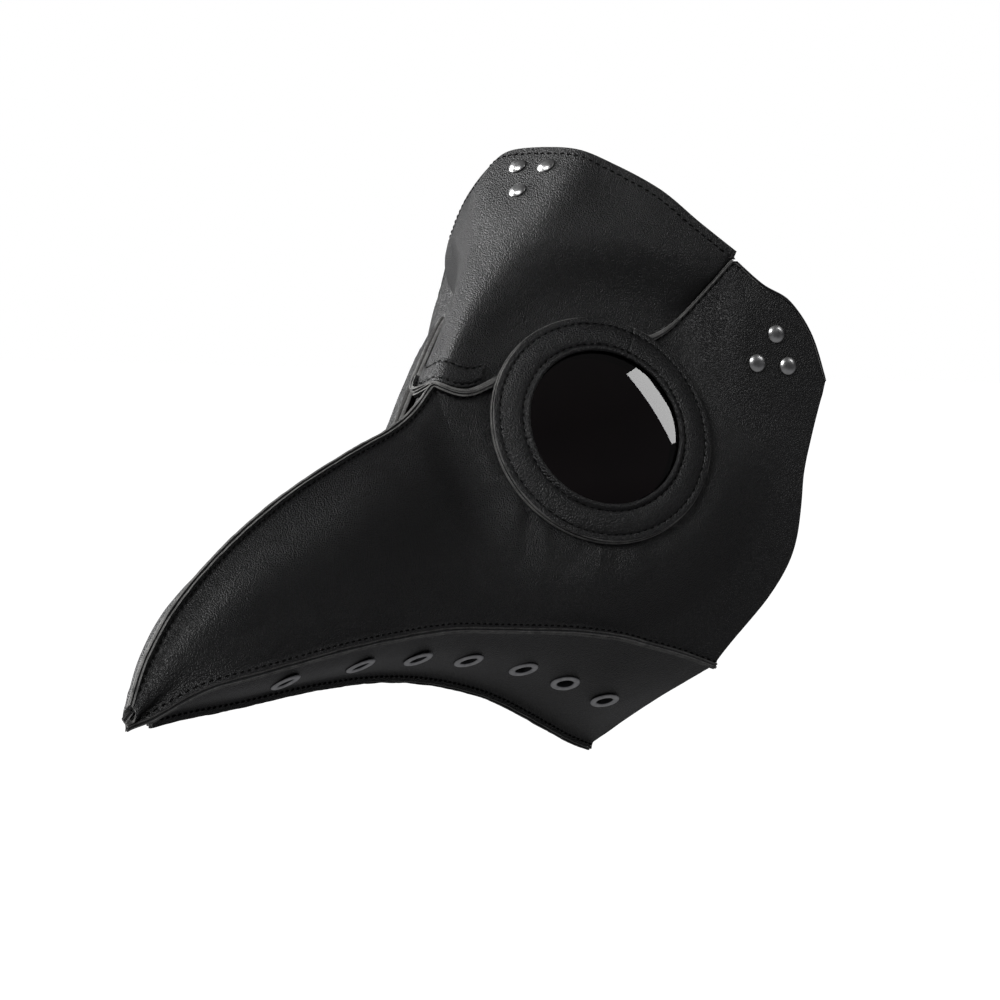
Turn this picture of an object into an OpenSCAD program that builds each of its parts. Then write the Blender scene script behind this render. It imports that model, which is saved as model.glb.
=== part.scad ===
// Plague doctor mask: a beaked leather mask sewn from three outer panels and a
// two-part chin, each with its own lining, with round smoked lenses in padded
// leather rings, lacing eyelets under the beak and three riveted straps.
// Front (the beak) is -Y, the wearer's left is +X and +Z is up. The origin is
// on the symmetry plane, at the height of the lens centres.

/* [Leather] */
// Thickness of the outer leather
skin_t = 1.1; // [0.8:0.1:1.2]
// Thickness of the lining
lining_t = 0.9; // [0.6:0.1:1]
// Gap between two layers that lie on each other
layer_gap = 0.05; // [0.05:0.01:0.1]
// Height of the raised seam along the beak
beak_seam_h = 3.2; // [2:0.2:4]
// Height of the raised seam between forehead and cheek
brow_seam_h = 2.6; // [1.5:0.1:3.5]
// Height of the raised seam along the jaw
jaw_seam_h = 3.6; // [2:0.2:4.5]

/* [Eyes] */
// Half the distance between the lens centres
eye_x = 39.4; // [39:0.2:40.6]
// Direction that a lens faces, turned sideways from straight ahead
eye_turn = 58; // [57:1:59]
// Direction that a lens faces, tilted up
eye_tilt = 21; // [20:1:22]
// Outer radius of the padded ring
ring_r = 42; // [40:0.2:42.6]
// Radius of the opening inside the padded ring
rim_r = 28.8; // [27.8:0.2:29.2]
// Height of the rolled inner rim above the panel
rim_h = 5.8; // [5.6:0.2:6.6]
// Radius of the lens
lens_r = 30.2; // [30:0.1:30.4]
// Thickness of the lens
lens_t = 1.6; // [1.2:0.1:1.8]

/* [Chin eyelets] */
// Hole radius of an eyelet
eyelet_hole_r = 3; // [2.4:0.1:3.2]
// Flange radius of an eyelet
eyelet_r = 5.4; // [5:0.1:6]

/* [Rivets] */
// Cap radius of a rivet
rivet_r = 3.3; // [2.8:0.1:3.5]
// Post radius of a rivet
rivet_post_r = 1.3; // [1:0.1:1.6]

/* [Straps] */
// Width of the straps
strap_w = 22; // [20:1:24]
// Thickness of the straps
strap_t = 2; // [1.6:0.1:2.2]
// Length of one folded run of the left strap
left_run = 45; // [40:1:46]
// Length of the right strap up to its buckle
right_run = 31; // [29:1:32]
// Length of the folded top strap
top_run = 50; // [40:1:54]
// Tilt of the side straps, rising to the rear
strap_tilt = 20; // [10:1:24]

/* [Hidden] */
$fn = 64;

// ---- Seam and edge lines of the wearer's left half, front to back ----
// A station is one step along every line, from 0 at the tip to 13 at the rear.
bridge_at = 7;
notch_at = 11;
rear_at = 13;
ridge = [
    [0, -210, -80], [0, -201.7, -67.8], [0, -186.7, -51.5], [0, -161.2, -34.4],
    [0, -129.6, -19.2], [0, -98, -8], [0, -67, 2], [0, -46, 15.5]
];
brow = [
    [0, -46, 15.5], [13.5, -32.5, 15], [29, -1, 25], [44, 32.5, 34],
    [63.5, 50.5, 60.5]
];
temple_edge = [
    [63.5, 50.5, 60.5], [71, 57.5, 51.5], [79, 65, 45.5],
    [84.5, 71.5, 33.5], [88, 76, 16.5]
];
jaw = [
    [0, -211, -87], [2.6, -205, -83], [12, -191, -74.5], [19, -170, -70.5],
    [24.5, -131, -65.8], [27.5, -103.5, -64], [30.5, -80, -63.5],
    [34.5, -55.5, -65.5], [41, -28, -68], [45, -14.5, -70],
    [49, -1, -72.5], [52.5, 11, -76], [57, 26, -80.5], [61.8, 41.8, -86.3]
];
keel = [
    [0, -201, -84.5], [0, -183, -83.5], [0, -158, -83], [0, -125, -81.5],
    [0, -92, -81.5], [0, -66, -83.5], [0, -42, -87.5], [0, -20, -93],
    [0, -5, -98], [0, 11, -104.5], [0, 25, -110.5], [0, 38, -116],
    [0, 53, -121.2]
];
top_edge = [
    [0, 21.5, 102], [22, 24.5, 98], [41.5, 34, 87.3], [55, 42, 74.5],
    [65, 51, 64]
];
// Interior lines of the side panel, a third and two thirds of the way down
flank_high = [
    [2.4, -210.5, -82], [4.8, -203.5, -71.5], [9, -189.5, -57.5],
    [13.5, -165, -44], [16, -131, -30.5], [17, -100, -22.5],
    [15.5, -71, -16.5], [12.5, -49, -8], [26.6, -31, -12],
    [40.3, -4, -5], [56.1, 25, 0], [67.5, 43, 15], [77, 56, 9],
    [85.2, 67, -15]
];
flank_low = [
    [2.2, -211, -84.5], [4.8, -204.5, -77.5], [12, -190.5, -66],
    [18, -167, -58], [23.5, -131.5, -48], [26, -102, -43.5],
    [27, -76, -40], [26, -52, -36], [41, -28, -42],
    [50.5, -9, -38], [58, 12, -38], [64, 30, -36], [71, 43, -41],
    [81, 63, -50]
];
// Middle line of the chin panel
chin_mid = [
    [2.6, -203, -84], [7.5, -186, -79.8], [12, -162, -77.6],
    [15, -128, -75], [17, -98, -74], [19, -72, -75], [21.5, -48, -78],
    [24.5, -24, -82.5], [26.5, -9, -86.5], [28.5, 5, -91.5],
    [30.5, 18, -96.5], [31.5, 31, -100], [31.8, 46.4, -103]
];
// Interior lines of the forehead panel, a third and two thirds of the way up
brow_low = [
    [0, -26, 47], [15.5, -17, 44], [31, 8.5, 49], [50, 31, 47],
    [64, 50.7, 61.6]
];
brow_high = [
    [0, -5.5, 75], [20, 1, 73], [38, 16.5, 69], [54.5, 35.5, 61],
    [64.5, 50.9, 62.8]
];
// Direction in which each seam's raised edge stands
brow_rise = [
    [0, -0.68, 0.73], [0.77, -0.5, 0.4], [0.79, -0.49, 0.36],
    [0.79, -0.49, 0.36], [0.78, -0.55, 0.3]
];
temple_rise = [
    [0.78, -0.55, 0.3], [0.6, -0.2, 0.7], [0.35, 0.2, 0.9], [0.5, 0.45, 0.7],
    [0.55, 0.65, 0.4]
];
jaw_rise_tip = [0.3, -0.75, -0.6];
jaw_rise_front = [0.85, -0.1, -0.5];
jaw_rise_rear = [0.62, -0.38, -0.57];

// ---- Flat places where rigid pieces sit ----
eye_at = [eye_x, 0, 0];
temple_at = [76.5, 58.3, 26.6];
temple_turn = 57;
temple_tilt = 4;
crown_at = [0, 9.5, 90.5];
crown_tilt = 45;
eye_flat_r = 48.5;
eye_blend_r = 61;
temple_flat_r = 19;
temple_blend_r = 28;
crown_flat_r = 22;
crown_blend_r = 33;

// ---- Rivets, straps and buckle, measured on their flat places ----
temple_rivets = [[1.2, 7.4], [-6.8, -3.1], [5.7, -4.3]];
crown_rivets = [[-6.5, 0], [6.3, -6.3], [6.3, 6.3]];
eyelet_stations = [3.45, 4.6, 5.7, 6.8, 8.05, 9.6, 11.25];
eyelet_across = 1.15;
seam_half = skin_t + lining_t + 2 * layer_gap;
panel_depth = skin_t + layer_gap + lining_t;
tab_z = -panel_depth - 0.1;
tab_rear = 10.2;
tab_front = -12;
post_head_t = 0.9;
fold_x = 11;
fold_z = tab_z - strap_t - 0.95;
run_z = fold_z - 0.9;
tail_fold_z = run_z - strap_t - 0.3;
tail_z = tail_fold_z - 0.3;
edge_gap = 0.3;
bar_r = 1.2;
bar_bore_r = bar_r + 0.05;
bar_x = fold_x - right_run;
bar_z = run_z - strap_t / 2;
loop_r = 2.4;
frame_len = 17;
frame_arm = 2.6;
prong_w = 3;
top_lean = 12;
side_lean = 17;
slot_from_end = 4;
slot_len = 8;
slot_side = 3;
tail_from = fold_x - left_run + edge_gap;
tail_to = fold_x - 3;
tail_hole_pitch = 8;
keeper_x = bar_x + 4.2;

// ---- Rings, lenses and small pieces, measured from their flat places ----
ring_seat_h = 0.2;
ring_base_t = 1.5;
ring_edge_t = 1.4;
lens_seat_h = 1.8;
lens_dome_r = 150;
band_gap = 0.25;
washer_gap = 0.5;

// ---- Small vector and curve functions ----
function unit(v) = v / norm(v);
function mix(a, b, t) = a * (1 - t) + b * t;
function ramp(x, low, high) = min(1, max(0, (x - low) / (high - low)));
function ease(t) = t * t * (3 - 2 * t);
function flip_x(p) = [-p[0], p[1], p[2]];
function facing(turn, tilt) =
    [sin(turn) * cos(tilt), -cos(turn) * cos(tilt), sin(tilt)];
function bend(p0, p1, p2, p3, t) =
    0.5 * (2 * p1 + (p2 - p0) * t
        + (2 * p0 - 5 * p1 + 4 * p2 - p3) * t * t
        + (3 * p1 - p0 - 3 * p2 + p3) * t * t * t);
function past_end(a, b) = 2 * a - b;
// Smooth curve through pts at station t; before is the point ahead of the first
function curve(pts, t, before) =
    let (
        n = len(pts),
        i = min(floor(t), n - 2),
        p0 = i == 0 ? before : pts[i - 1],
        p3 = i == n - 2 ? past_end(pts[n - 1], pts[n - 2]) : pts[i + 2]
    )
    bend(p0, pts[i], pts[i + 1], p3, t - i);
function free_curve(pts, t) = curve(pts, t, past_end(pts[0], pts[1]));

// ---- Seam lines ----
function brow_line(s) = curve(brow, s, flip_x(brow[1]));
function upper_line(u) =
    u <= bridge_at ? free_curve(ridge, u)
    : u <= notch_at ? brow_line(u - bridge_at)
    : free_curve(temple_edge, 2 * (u - notch_at));
step = 0.05;
function slope(a, b) = unit(b - a);
ridge_side = [1, 0, 0];
function ridge_rise(u) =
    let (d = slope(free_curve(ridge, max(0, u - step)),
                   free_curve(ridge, min(bridge_at, u + step))))
    [0, -d[2], d[1]];
function brow_rise_at(s) = unit(curve(brow_rise, s, flip_x(brow_rise[1])));
function brow_side(s) =
    let (
        low = s - step,
        a = low < 0 ? flip_x(brow_line(-low)) : brow_line(low),
        b = brow_line(min(notch_at - bridge_at, s + step))
    )
    unit(cross(brow_rise_at(s), slope(a, b)));
// How far the side panel's edge lies from the seam line at station u
function upper_shift(u) =
    u < bridge_at ? seam_half * ridge_side
    : u == bridge_at ? seam_half * (ridge_side - brow_side(0))
    : u <= notch_at ? -seam_half * brow_side(u - bridge_at)
    : -seam_half * (1 - ramp(u, notch_at, notch_at + 0.7))
        * brow_side(notch_at - bridge_at);
function upper_rise(u) =
    u < bridge_at ? ridge_rise(u)
    : u <= notch_at ? brow_rise_at(u - bridge_at)
    : unit(free_curve(temple_rise, 2 * (u - notch_at)));
function brow_height(s) =
    let (under_ring = ramp(s, 0.7, 1) * (1 - ramp(s, 3, 3.3)))
    mix(brow_seam_h, 0.06, under_ring);
function upper_height(u) =
    u < bridge_at ? beak_seam_h
    : u <= notch_at ? brow_height(u - bridge_at)
    : mix(brow_seam_h, 0.8, ramp(u, notch_at, notch_at + 0.7));
function jaw_rise(u) =
    unit(u < 2 ? mix(jaw_rise_tip, jaw_rise_front, ease(u / 2))
        : mix(jaw_rise_front, jaw_rise_rear, ramp(u, 2, rear_at)));
function jaw_side(u) =
    unit(cross(jaw_rise(u),
        slope(free_curve(jaw, max(0, u - step)),
              free_curve(jaw, min(rear_at, u + step)))));
function jaw_height(u) = mix(jaw_seam_h, 2, ramp(u, 6, rear_at));
function keel_line(u) = free_curve(keel, u - 1);
function keel_rise(u) =
    let (d = slope(keel_line(max(1, u - step)), keel_line(min(rear_at, u + step))))
    [0, d[2], -d[1]];

// ---- Flattening where the eye rings and the rivets sit ----
function flatten(p, at, n, flat_r, blend_r) =
    let (w = 1 - ease(ramp(norm(p - at), flat_r, blend_r)))
    p - w * ((p - at) * n) * n;
eye_n = facing(eye_turn, eye_tilt);
temple_n = facing(temple_turn, temple_tilt);
crown_n = facing(0, crown_tilt);
function seated(p) =
    flatten(
        flatten(
            flatten(p, eye_at, eye_n, eye_flat_r, eye_blend_r),
            flip_x(eye_at), flip_x(eye_n), eye_flat_r, eye_blend_r),
        temple_at, temple_n, temple_flat_r, temple_blend_r);
function seated_crown(p) =
    flatten(seated(p), crown_at, crown_n, crown_flat_r, crown_blend_r);

// ---- Panel surfaces: the outer face of the outer leather ----
function across(rows, v) =
    let (
        n = len(rows),
        i = min(floor(v), n - 2),
        p0 = i == 0 ? past_end(rows[0], rows[1]) : rows[i - 1],
        p3 = i == n - 2 ? past_end(rows[n - 1], rows[n - 2]) : rows[i + 2]
    )
    bend(p0, rows[i], rows[i + 1], p3, v - i);
function side_rows(u) = [
    upper_line(u) + upper_shift(u), free_curve(flank_high, u),
    free_curve(flank_low, u), free_curve(jaw, u) + seam_half * jaw_side(u)
];
function side_column(u) =
    let (
        rows = side_rows(u),
        top = seated(rows[0]),
        low = rows[3]
    )
    concat(
        [top + upper_height(u) * upper_rise(u)],
        [for (k = [0:9]) seated(across(rows, k / 3))],
        [low + jaw_height(u) * jaw_rise(u)]
    );
function chin_rows(u) = [
    free_curve(jaw, u) - seam_half * jaw_side(u), free_curve(chin_mid, u - 1),
    keel_line(u) + [seam_half, 0, 0]
];
function chin_point(u, v) = across(chin_rows(u), v);
function chin_column(u) =
    concat(
        [chin_point(u, 0) + jaw_height(u) * jaw_rise(u)],
        [for (k = [0:6]) chin_point(u, k / 3)],
        [chin_point(u, 2) + beak_seam_h * keel_rise(u)]
    );
function brow_rows(s) = [
    curve(top_edge, s, flip_x(top_edge[1])),
    curve(brow_high, s, flip_x(brow_high[1])),
    curve(brow_low, s, flip_x(brow_low[1])),
    brow_line(s) + seam_half * brow_side(s)
];
// One column of the forehead; s runs from -4 at the right notch to 4 at the left
function brow_column(s) =
    let (
        t = abs(s),
        rows = brow_rows(t),
        low = seated(rows[3]),
        half = concat(
            [for (k = [0:9]) seated_crown(across(rows, k / 3))],
            [low + brow_height(t) * brow_rise_at(t)])
    )
    s < 0 ? [for (p = half) flip_x(p)] : half;
// The bridge band covers the lowest part of the forehead between the rings
function band_column(s) =
    let (
        t = abs(s),
        rows = brow_rows(t),
        half = [for (k = [0:3]) seated(across(rows, 2.715 + 0.085 * k))]
    )
    s < 0 ? [for (p = half) flip_x(p)] : half;

// ---- Sheets: a layer of constant thickness on a grid of columns ----
function grid_normal(grid, i, j) =
    let (
        n = len(grid) - 1,
        m = len(grid[0]) - 1,
        du = grid[min(n, i + 1)][j] - grid[max(0, i - 1)][j],
        dv = grid[i][min(m, j + 1)] - grid[i][max(0, j - 1)]
    )
    unit(cross(dv, du));
function layer(grid, depth) = [
    for (i = [0:len(grid) - 1])
        for (j = [0:len(grid[0]) - 1])
            grid[i][j] - depth * grid_normal(grid, i, j)
];
module sheet(grid, near, far) {
    n = len(grid);
    m = len(grid[0]);
    back = n * m;
    upper = [for (i = [0:n - 2]) for (j = [0:m - 2])
        let (a = i * m + j, b = a + m)
        each [[a, b, a + 1], [a + 1, b, b + 1]]];
    lower = [for (f = upper) [f[2] + back, f[1] + back, f[0] + back]];
    first = [for (j = [0:m - 2])
        let (a = j, b = j + 1)
        each [[a, b, a + back], [b, b + back, a + back]]];
    last = [for (j = [0:m - 2])
        let (a = (n - 1) * m + j, b = a + 1)
        each [[b, a, a + back], [b, a + back, b + back]]];
    head = [for (i = [0:n - 2])
        let (a = i * m, b = a + m)
        each [[b, a, a + back], [b, a + back, b + back]]];
    foot = [for (i = [0:n - 2])
        let (a = i * m + m - 1, b = a + m)
        each [[a, b, a + back], [b, b + back, a + back]]];
    polyhedron(
        points = concat(layer(grid, near), layer(grid, far)),
        faces = concat(upper, lower, first, last, head, foot),
        convexity = 10
    );
}
side_stations = concat(
    [for (i = [0:20]) i / 3],
    [for (i = [0:24]) bridge_at + i / 4]
);
side_grid = [for (u = side_stations) side_column(u)];
chin_grid = [for (i = [2:26]) chin_column(i / 2)];
brow_grid = [for (i = [-16:16]) brow_column(i / 4)];
band_grid = [for (i = [-6:6]) band_column(i * 0.16)];
lining_near = skin_t + layer_gap;
lining_far = panel_depth;

// ---- Frames in which the rigid pieces are drawn: +Z out of the mask ----
module at_eye() {
    translate(eye_at) rotate([0, 90 - eye_tilt, eye_turn - 90]) children();
}
// +X to the rear along the panel, +Y up
module at_temple() {
    translate(temple_at)
        rotate([0, 0, temple_turn - 90])
            rotate([0, -temple_tilt, 0])
                rotate([90, 0, 90])
                    children();
}
module at_strap() {
    at_temple() rotate([0, 0, strap_tilt]) children();
}
// The side straps' folded runs lean away from the panel
module at_side_run() {
    at_strap()
        translate([fold_x, 0, fold_z])
            rotate([0, -side_lean, 0])
                translate([-fold_x, 0, -fold_z])
                    children();
}
// +X up and back along the forehead, +Y to the wearer's right
module at_crown() {
    translate(crown_at) rotate([90 - crown_tilt, 0, 0]) rotate([0, 0, 90]) children();
}
module at_crown_strap() {
    at_crown()
        translate([fold_x, 0, fold_z])
            rotate([0, -top_lean, 0])
                translate([-fold_x, 0, -fold_z])
                    children();
}
module on_right() {
    mirror([1, 0, 0]) children();
}
// Stands +Z along the chin panel's normal at each eyelet
module at_eyelets() {
    for (u = eyelet_stations) {
        at = chin_point(u, eyelet_across);
        n = unit(cross(
            chin_point(u, eyelet_across + step) - at,
            chin_point(u + step, eyelet_across) - at));
        translate(at)
            rotate([0, acos(n[2]), atan2(n[1], n[0])])
                children();
    }
}
module at_rivets(places) {
    for (p = places) translate([p[0], p[1], 0]) children();
}
module hole(r) {
    translate([0, 0, -8]) cylinder(r = r, h = 16);
}

// ---- Panels and linings ----
module side_sheet(near, far) {
    difference() {
        sheet(side_grid, near, far);
        at_eye() hole(lens_r + 1);
        at_temple() at_rivets(temple_rivets) hole(rivet_post_r + 0.1);
    }
}
module side_panel_left() {
    color("#1b1b1c") side_sheet(0, skin_t);
}
module side_panel_right() {
    on_right() side_panel_left();
}
module side_lining_left() {
    color("#26262a") side_sheet(lining_near, lining_far);
}
module side_lining_right() {
    on_right() side_lining_left();
}
module forehead_sheet(near, far) {
    difference() {
        sheet(brow_grid, near, far);
        at_eye() hole(lens_r + 1);
        on_right() at_eye() hole(lens_r + 1);
        at_crown() at_rivets(crown_rivets) hole(rivet_post_r + 0.1);
    }
}
module forehead_panel() {
    color("#1d1d1e") forehead_sheet(0, skin_t);
}
module forehead_lining() {
    color("#26262a") forehead_sheet(lining_near, lining_far);
}
module bridge_band() {
    color("#222223") sheet(band_grid, -skin_t - band_gap, -band_gap);
}
module chin_sheet(near, far) {
    difference() {
        sheet(chin_grid, near, far);
        at_eyelets() hole(eyelet_hole_r + 0.6);
    }
}
module chin_panel_left() {
    color("#19191a") chin_sheet(0, skin_t);
}
module chin_panel_right() {
    on_right() chin_panel_left();
}
module chin_lining_left() {
    color("#26262a") chin_sheet(lining_near, lining_far);
}
module chin_lining_right() {
    on_right() chin_lining_left();
}

// ---- Eye rings and lenses ----
module eye_ring_base_left() {
    color("#202021")
        at_eye()
            translate([0, 0, ring_seat_h])
                difference() {
                    cylinder(r = ring_r + 0.4, h = ring_base_t);
                    translate([0, 0, -1]) cylinder(r = lens_r + 1, h = 4);
                }
}
module eye_ring_base_right() {
    on_right() eye_ring_base_left();
}
module eye_ring_pad_left() {
    low = ring_seat_h + ring_base_t + layer_gap;
    lens_top = lens_seat_h + lens_t + 0.3;
    color("#242425")
        at_eye()
            rotate_extrude()
                polygon([
                    [ring_r, low], [ring_r, low + ring_edge_t],
                    [ring_r - 5, low + 2.3], [rim_r + 3.4, rim_h],
                    [rim_r + 1.6, rim_h + 0.5], [rim_r + 0.3, rim_h],
                    [rim_r, rim_h - 1], [rim_r + 0.4, lens_top],
                    [lens_r + 1, lens_top], [lens_r + 1, low]
                ]);
}
module eye_ring_pad_right() {
    on_right() eye_ring_pad_left();
}
module lens_left() {
    drop = lens_dome_r - sqrt(pow(lens_dome_r, 2) - pow(lens_r, 2));
    color([0.12, 0.1, 0.1, 0.6])
        at_eye()
            translate([0, 0, lens_seat_h + drop - lens_dome_r])
                rotate_extrude($fn = 96)
                    intersection() {
                        difference() {
                            circle(r = lens_dome_r + lens_t, $fn = 720);
                            circle(r = lens_dome_r, $fn = 720);
                        }
                        translate([0, lens_dome_r - 20])
                            square([lens_r, 40]);
                    }
}
module lens_right() {
    on_right() lens_left();
}
module lens_seat_left() {
    flange_top = -panel_depth - 0.1;
    color("#151516")
        at_eye()
            rotate_extrude()
                polygon([
                    [rim_r - 0.6, flange_top - 1.4], [lens_r + 4, flange_top - 1.4],
                    [lens_r + 4, flange_top], [lens_r + 0.8, flange_top],
                    [lens_r + 0.8, lens_seat_h], [rim_r - 0.6, lens_seat_h]
                ]);
}
module lens_seat_right() {
    on_right() lens_seat_left();
}

// ---- Chin eyelets ----
module eyelets_left() {
    color("#8d8f92")
        at_eyelets()
            rotate_extrude(convexity = 4)
                polygon([
                    [eyelet_hole_r, -panel_depth - washer_gap - 0.8],
                    [eyelet_hole_r + 0.5, -panel_depth - washer_gap - 0.8],
                    [eyelet_hole_r + 0.5, 0.1], [eyelet_r, 0.1],
                    [eyelet_r, 0.5], [eyelet_r - 0.9, 1],
                    [eyelet_hole_r + 0.7, 1], [eyelet_hole_r, 0.5]
                ]);
}
module eyelets_right() {
    on_right() eyelets_left();
}
module eyelet_washers_left() {
    color("#7d7f82")
        at_eyelets()
            translate([0, 0, -panel_depth - washer_gap - 0.5])
                difference() {
                    cylinder(r = eyelet_r - 0.6, h = 0.5);
                    translate([0, 0, -1]) cylinder(r = eyelet_hole_r + 0.55, h = 3);
                }
}
module eyelet_washers_right() {
    on_right() eyelet_washers_left();
}

// ---- Rivets ----
module rivet_cap() {
    difference() {
        rotate_extrude()
            polygon(concat(
                [[0, 0.1], [rivet_r - 0.3, 0.1]],
                [for (a = [0:15:90]) [rivet_r * cos(a), 0.4 + 1.5 * sin(a)]]));
        translate([0, 0, -1]) cylinder(r = rivet_post_r + 0.02, h = 2.2);
    }
}
module rivet_post() {
    union() {
        translate([0, 0, tab_z - strap_t - 0.1 - post_head_t])
            cylinder(r = rivet_r - 0.1, h = post_head_t);
        translate([0, 0, tab_z - strap_t - 0.1 - post_head_t])
            cylinder(r = rivet_post_r, h = strap_t + 0.2 + post_head_t - tab_z + 0.9);
    }
}
module rivet_caps_left() {
    color("#9a9c9f") at_temple() at_rivets(temple_rivets) rivet_cap();
}
module rivet_caps_right() {
    on_right() rivet_caps_left();
}
module rivet_caps_top() {
    color("#9a9c9f") at_crown() at_rivets(crown_rivets) rivet_cap();
}
module rivet_posts_left() {
    color("#86888b") at_temple() at_rivets(temple_rivets) rivet_post();
}
module rivet_posts_right() {
    on_right() rivet_posts_left();
}
module rivet_posts_top() {
    color("#86888b") at_crown() at_rivets(crown_rivets) rivet_post();
}

// ---- Straps: a riveted tab each, and the runs that fold away from it ----
module strap_slab(x0, x1, top_z) {
    translate([x0, -strap_w / 2, top_z - strap_t])
        cube([x1 - x0, strap_w, strap_t]);
}
module strap_tab_left() {
    color("#1f1f20")
        difference() {
            at_strap() strap_slab(tab_front, tab_rear, tab_z);
            at_temple() at_rivets(temple_rivets) hole(rivet_post_r + 0.1);
        }
}
module strap_tab_right() {
    on_right() strap_tab_left();
}
module strap_tab_top() {
    color("#1f1f20")
        difference() {
            at_crown() strap_slab(tab_front, tab_rear, tab_z);
            at_crown() at_rivets(crown_rivets) hole(rivet_post_r + 0.1);
        }
}
module strap_left_run() {
    color("#1f1f20")
        at_side_run() strap_slab(fold_x - left_run, fold_x - edge_gap, run_z);
}
module strap_left_tail() {
    color("#1f1f20")
        at_side_run()
            difference() {
                union() {
                    strap_slab(tail_from, tail_to - strap_w / 2, tail_z);
                    translate([tail_to - strap_w / 2, 0, tail_z - strap_t])
                        cylinder(r = strap_w / 2, h = strap_t);
                }
                for (k = [0:3])
                    translate([tail_to - 8 - k * tail_hole_pitch, 0, tail_z - strap_t - 1])
                        cylinder(r = 1.6, h = strap_t + 2);
            }
}
module strap_top() {
    color("#1f1f20")
        at_crown_strap()
            difference() {
                strap_slab(fold_x - top_run, fold_x - edge_gap, run_z);
                translate([
                    fold_x - top_run + slot_from_end, slot_side - strap_w / 2,
                    run_z - strap_t - 1
                ])
                    cube([slot_len, strap_w - 2 * slot_side, strap_t + 2]);
            }
}
module strap_right() {
    color("#1f1f20")
        on_right()
            at_side_run()
                difference() {
                    union() {
                        strap_slab(bar_x, fold_x - edge_gap, run_z);
                        translate([bar_x, strap_w / 2, bar_z])
                            rotate([90, 0, 0])
                                cylinder(r = loop_r, h = strap_w);
                    }
                    translate([bar_x, strap_w / 2 + 1, bar_z])
                        rotate([90, 0, 0])
                            cylinder(r = bar_bore_r, h = strap_w + 2);
                    translate([bar_x - loop_r - 1, -prong_w / 2 - 1, bar_z - loop_r - 1])
                        cube([2 * loop_r + 4, prong_w + 2, 2 * loop_r + 2]);
                }
}
module strap_keeper() {
    inner_w = strap_w + 0.4;
    color("#1c1c1d")
        on_right()
            at_side_run()
                difference() {
                    translate([keeper_x, -inner_w / 2 - 1.2, run_z - strap_t - 2.4])
                        cube([4, inner_w + 2.4, strap_t + 3.7]);
                    translate([keeper_x - 1, -inner_w / 2, run_z - strap_t - 1.2])
                        cube([6, inner_w, strap_t + 1.3]);
                }
}
module buckle_frame() {
    arm_y = strap_w / 2 + 0.4;
    color("#a3a5a8")
        on_right()
            at_side_run()
                translate([bar_x, 0, bar_z]) {
                    rotate([90, 0, 0])
                        cylinder(r = bar_r, h = 2 * arm_y + 1, center = true);
                    for (side = [-1, 1])
                        translate([-frame_len, side > 0 ? arm_y : -arm_y - frame_arm, -bar_r])
                            cube([frame_len + bar_r + 0.6, frame_arm, 2 * bar_r]);
                    translate([-frame_len, -arm_y - frame_arm, -bar_r])
                        cube([frame_arm, 2 * (arm_y + frame_arm), 2 * bar_r]);
                }
}
module buckle_prong() {
    reach = frame_len - 0.6;
    color("#a3a5a8")
        on_right()
            at_side_run()
                translate([bar_x, 0, bar_z])
                    difference() {
                        union() {
                            rotate([90, 0, 0])
                                cylinder(r = bar_r + 1.1, h = prong_w, center = true);
                            translate([-reach, -prong_w / 2 + 0.4, -bar_r - 1.1])
                                cube([reach, prong_w - 0.8, 1]);
                        }
                        rotate([90, 0, 0])
                            cylinder(r = bar_bore_r, h = prong_w + 2, center = true);
                    }
}

forehead_panel();
forehead_lining();
bridge_band();
side_panel_left();
side_panel_right();
side_lining_left();
side_lining_right();
chin_panel_left();
chin_panel_right();
chin_lining_left();
chin_lining_right();
eye_ring_base_left();
eye_ring_base_right();
eye_ring_pad_left();
eye_ring_pad_right();
lens_left();
lens_right();
lens_seat_left();
lens_seat_right();
eyelets_left();
eyelets_right();
eyelet_washers_left();
eyelet_washers_right();
rivet_caps_top();
rivet_caps_left();
rivet_caps_right();
rivet_posts_top();
rivet_posts_left();
rivet_posts_right();
strap_tab_top();
strap_tab_left();
strap_tab_right();
strap_top();
strap_left_run();
strap_left_tail();
strap_right();
strap_keeper();
buckle_frame();
buckle_prong();
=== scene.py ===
import math

import bmesh
import bpy
import numpy as np
from mathutils import Matrix, Vector


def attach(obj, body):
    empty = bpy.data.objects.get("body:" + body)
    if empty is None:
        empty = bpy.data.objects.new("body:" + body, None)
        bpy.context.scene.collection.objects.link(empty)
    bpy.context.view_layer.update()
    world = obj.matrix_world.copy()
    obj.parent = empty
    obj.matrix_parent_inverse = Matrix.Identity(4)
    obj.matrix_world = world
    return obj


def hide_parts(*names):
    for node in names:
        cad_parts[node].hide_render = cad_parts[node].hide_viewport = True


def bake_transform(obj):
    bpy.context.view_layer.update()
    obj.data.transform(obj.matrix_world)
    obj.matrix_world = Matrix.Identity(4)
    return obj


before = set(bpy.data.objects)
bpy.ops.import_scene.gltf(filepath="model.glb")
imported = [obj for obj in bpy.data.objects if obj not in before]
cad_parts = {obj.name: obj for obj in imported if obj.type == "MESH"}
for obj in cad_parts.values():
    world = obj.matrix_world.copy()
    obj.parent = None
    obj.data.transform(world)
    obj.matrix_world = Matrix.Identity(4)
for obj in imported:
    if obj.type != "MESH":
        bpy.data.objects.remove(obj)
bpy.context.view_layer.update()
MM = 0.001

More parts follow.
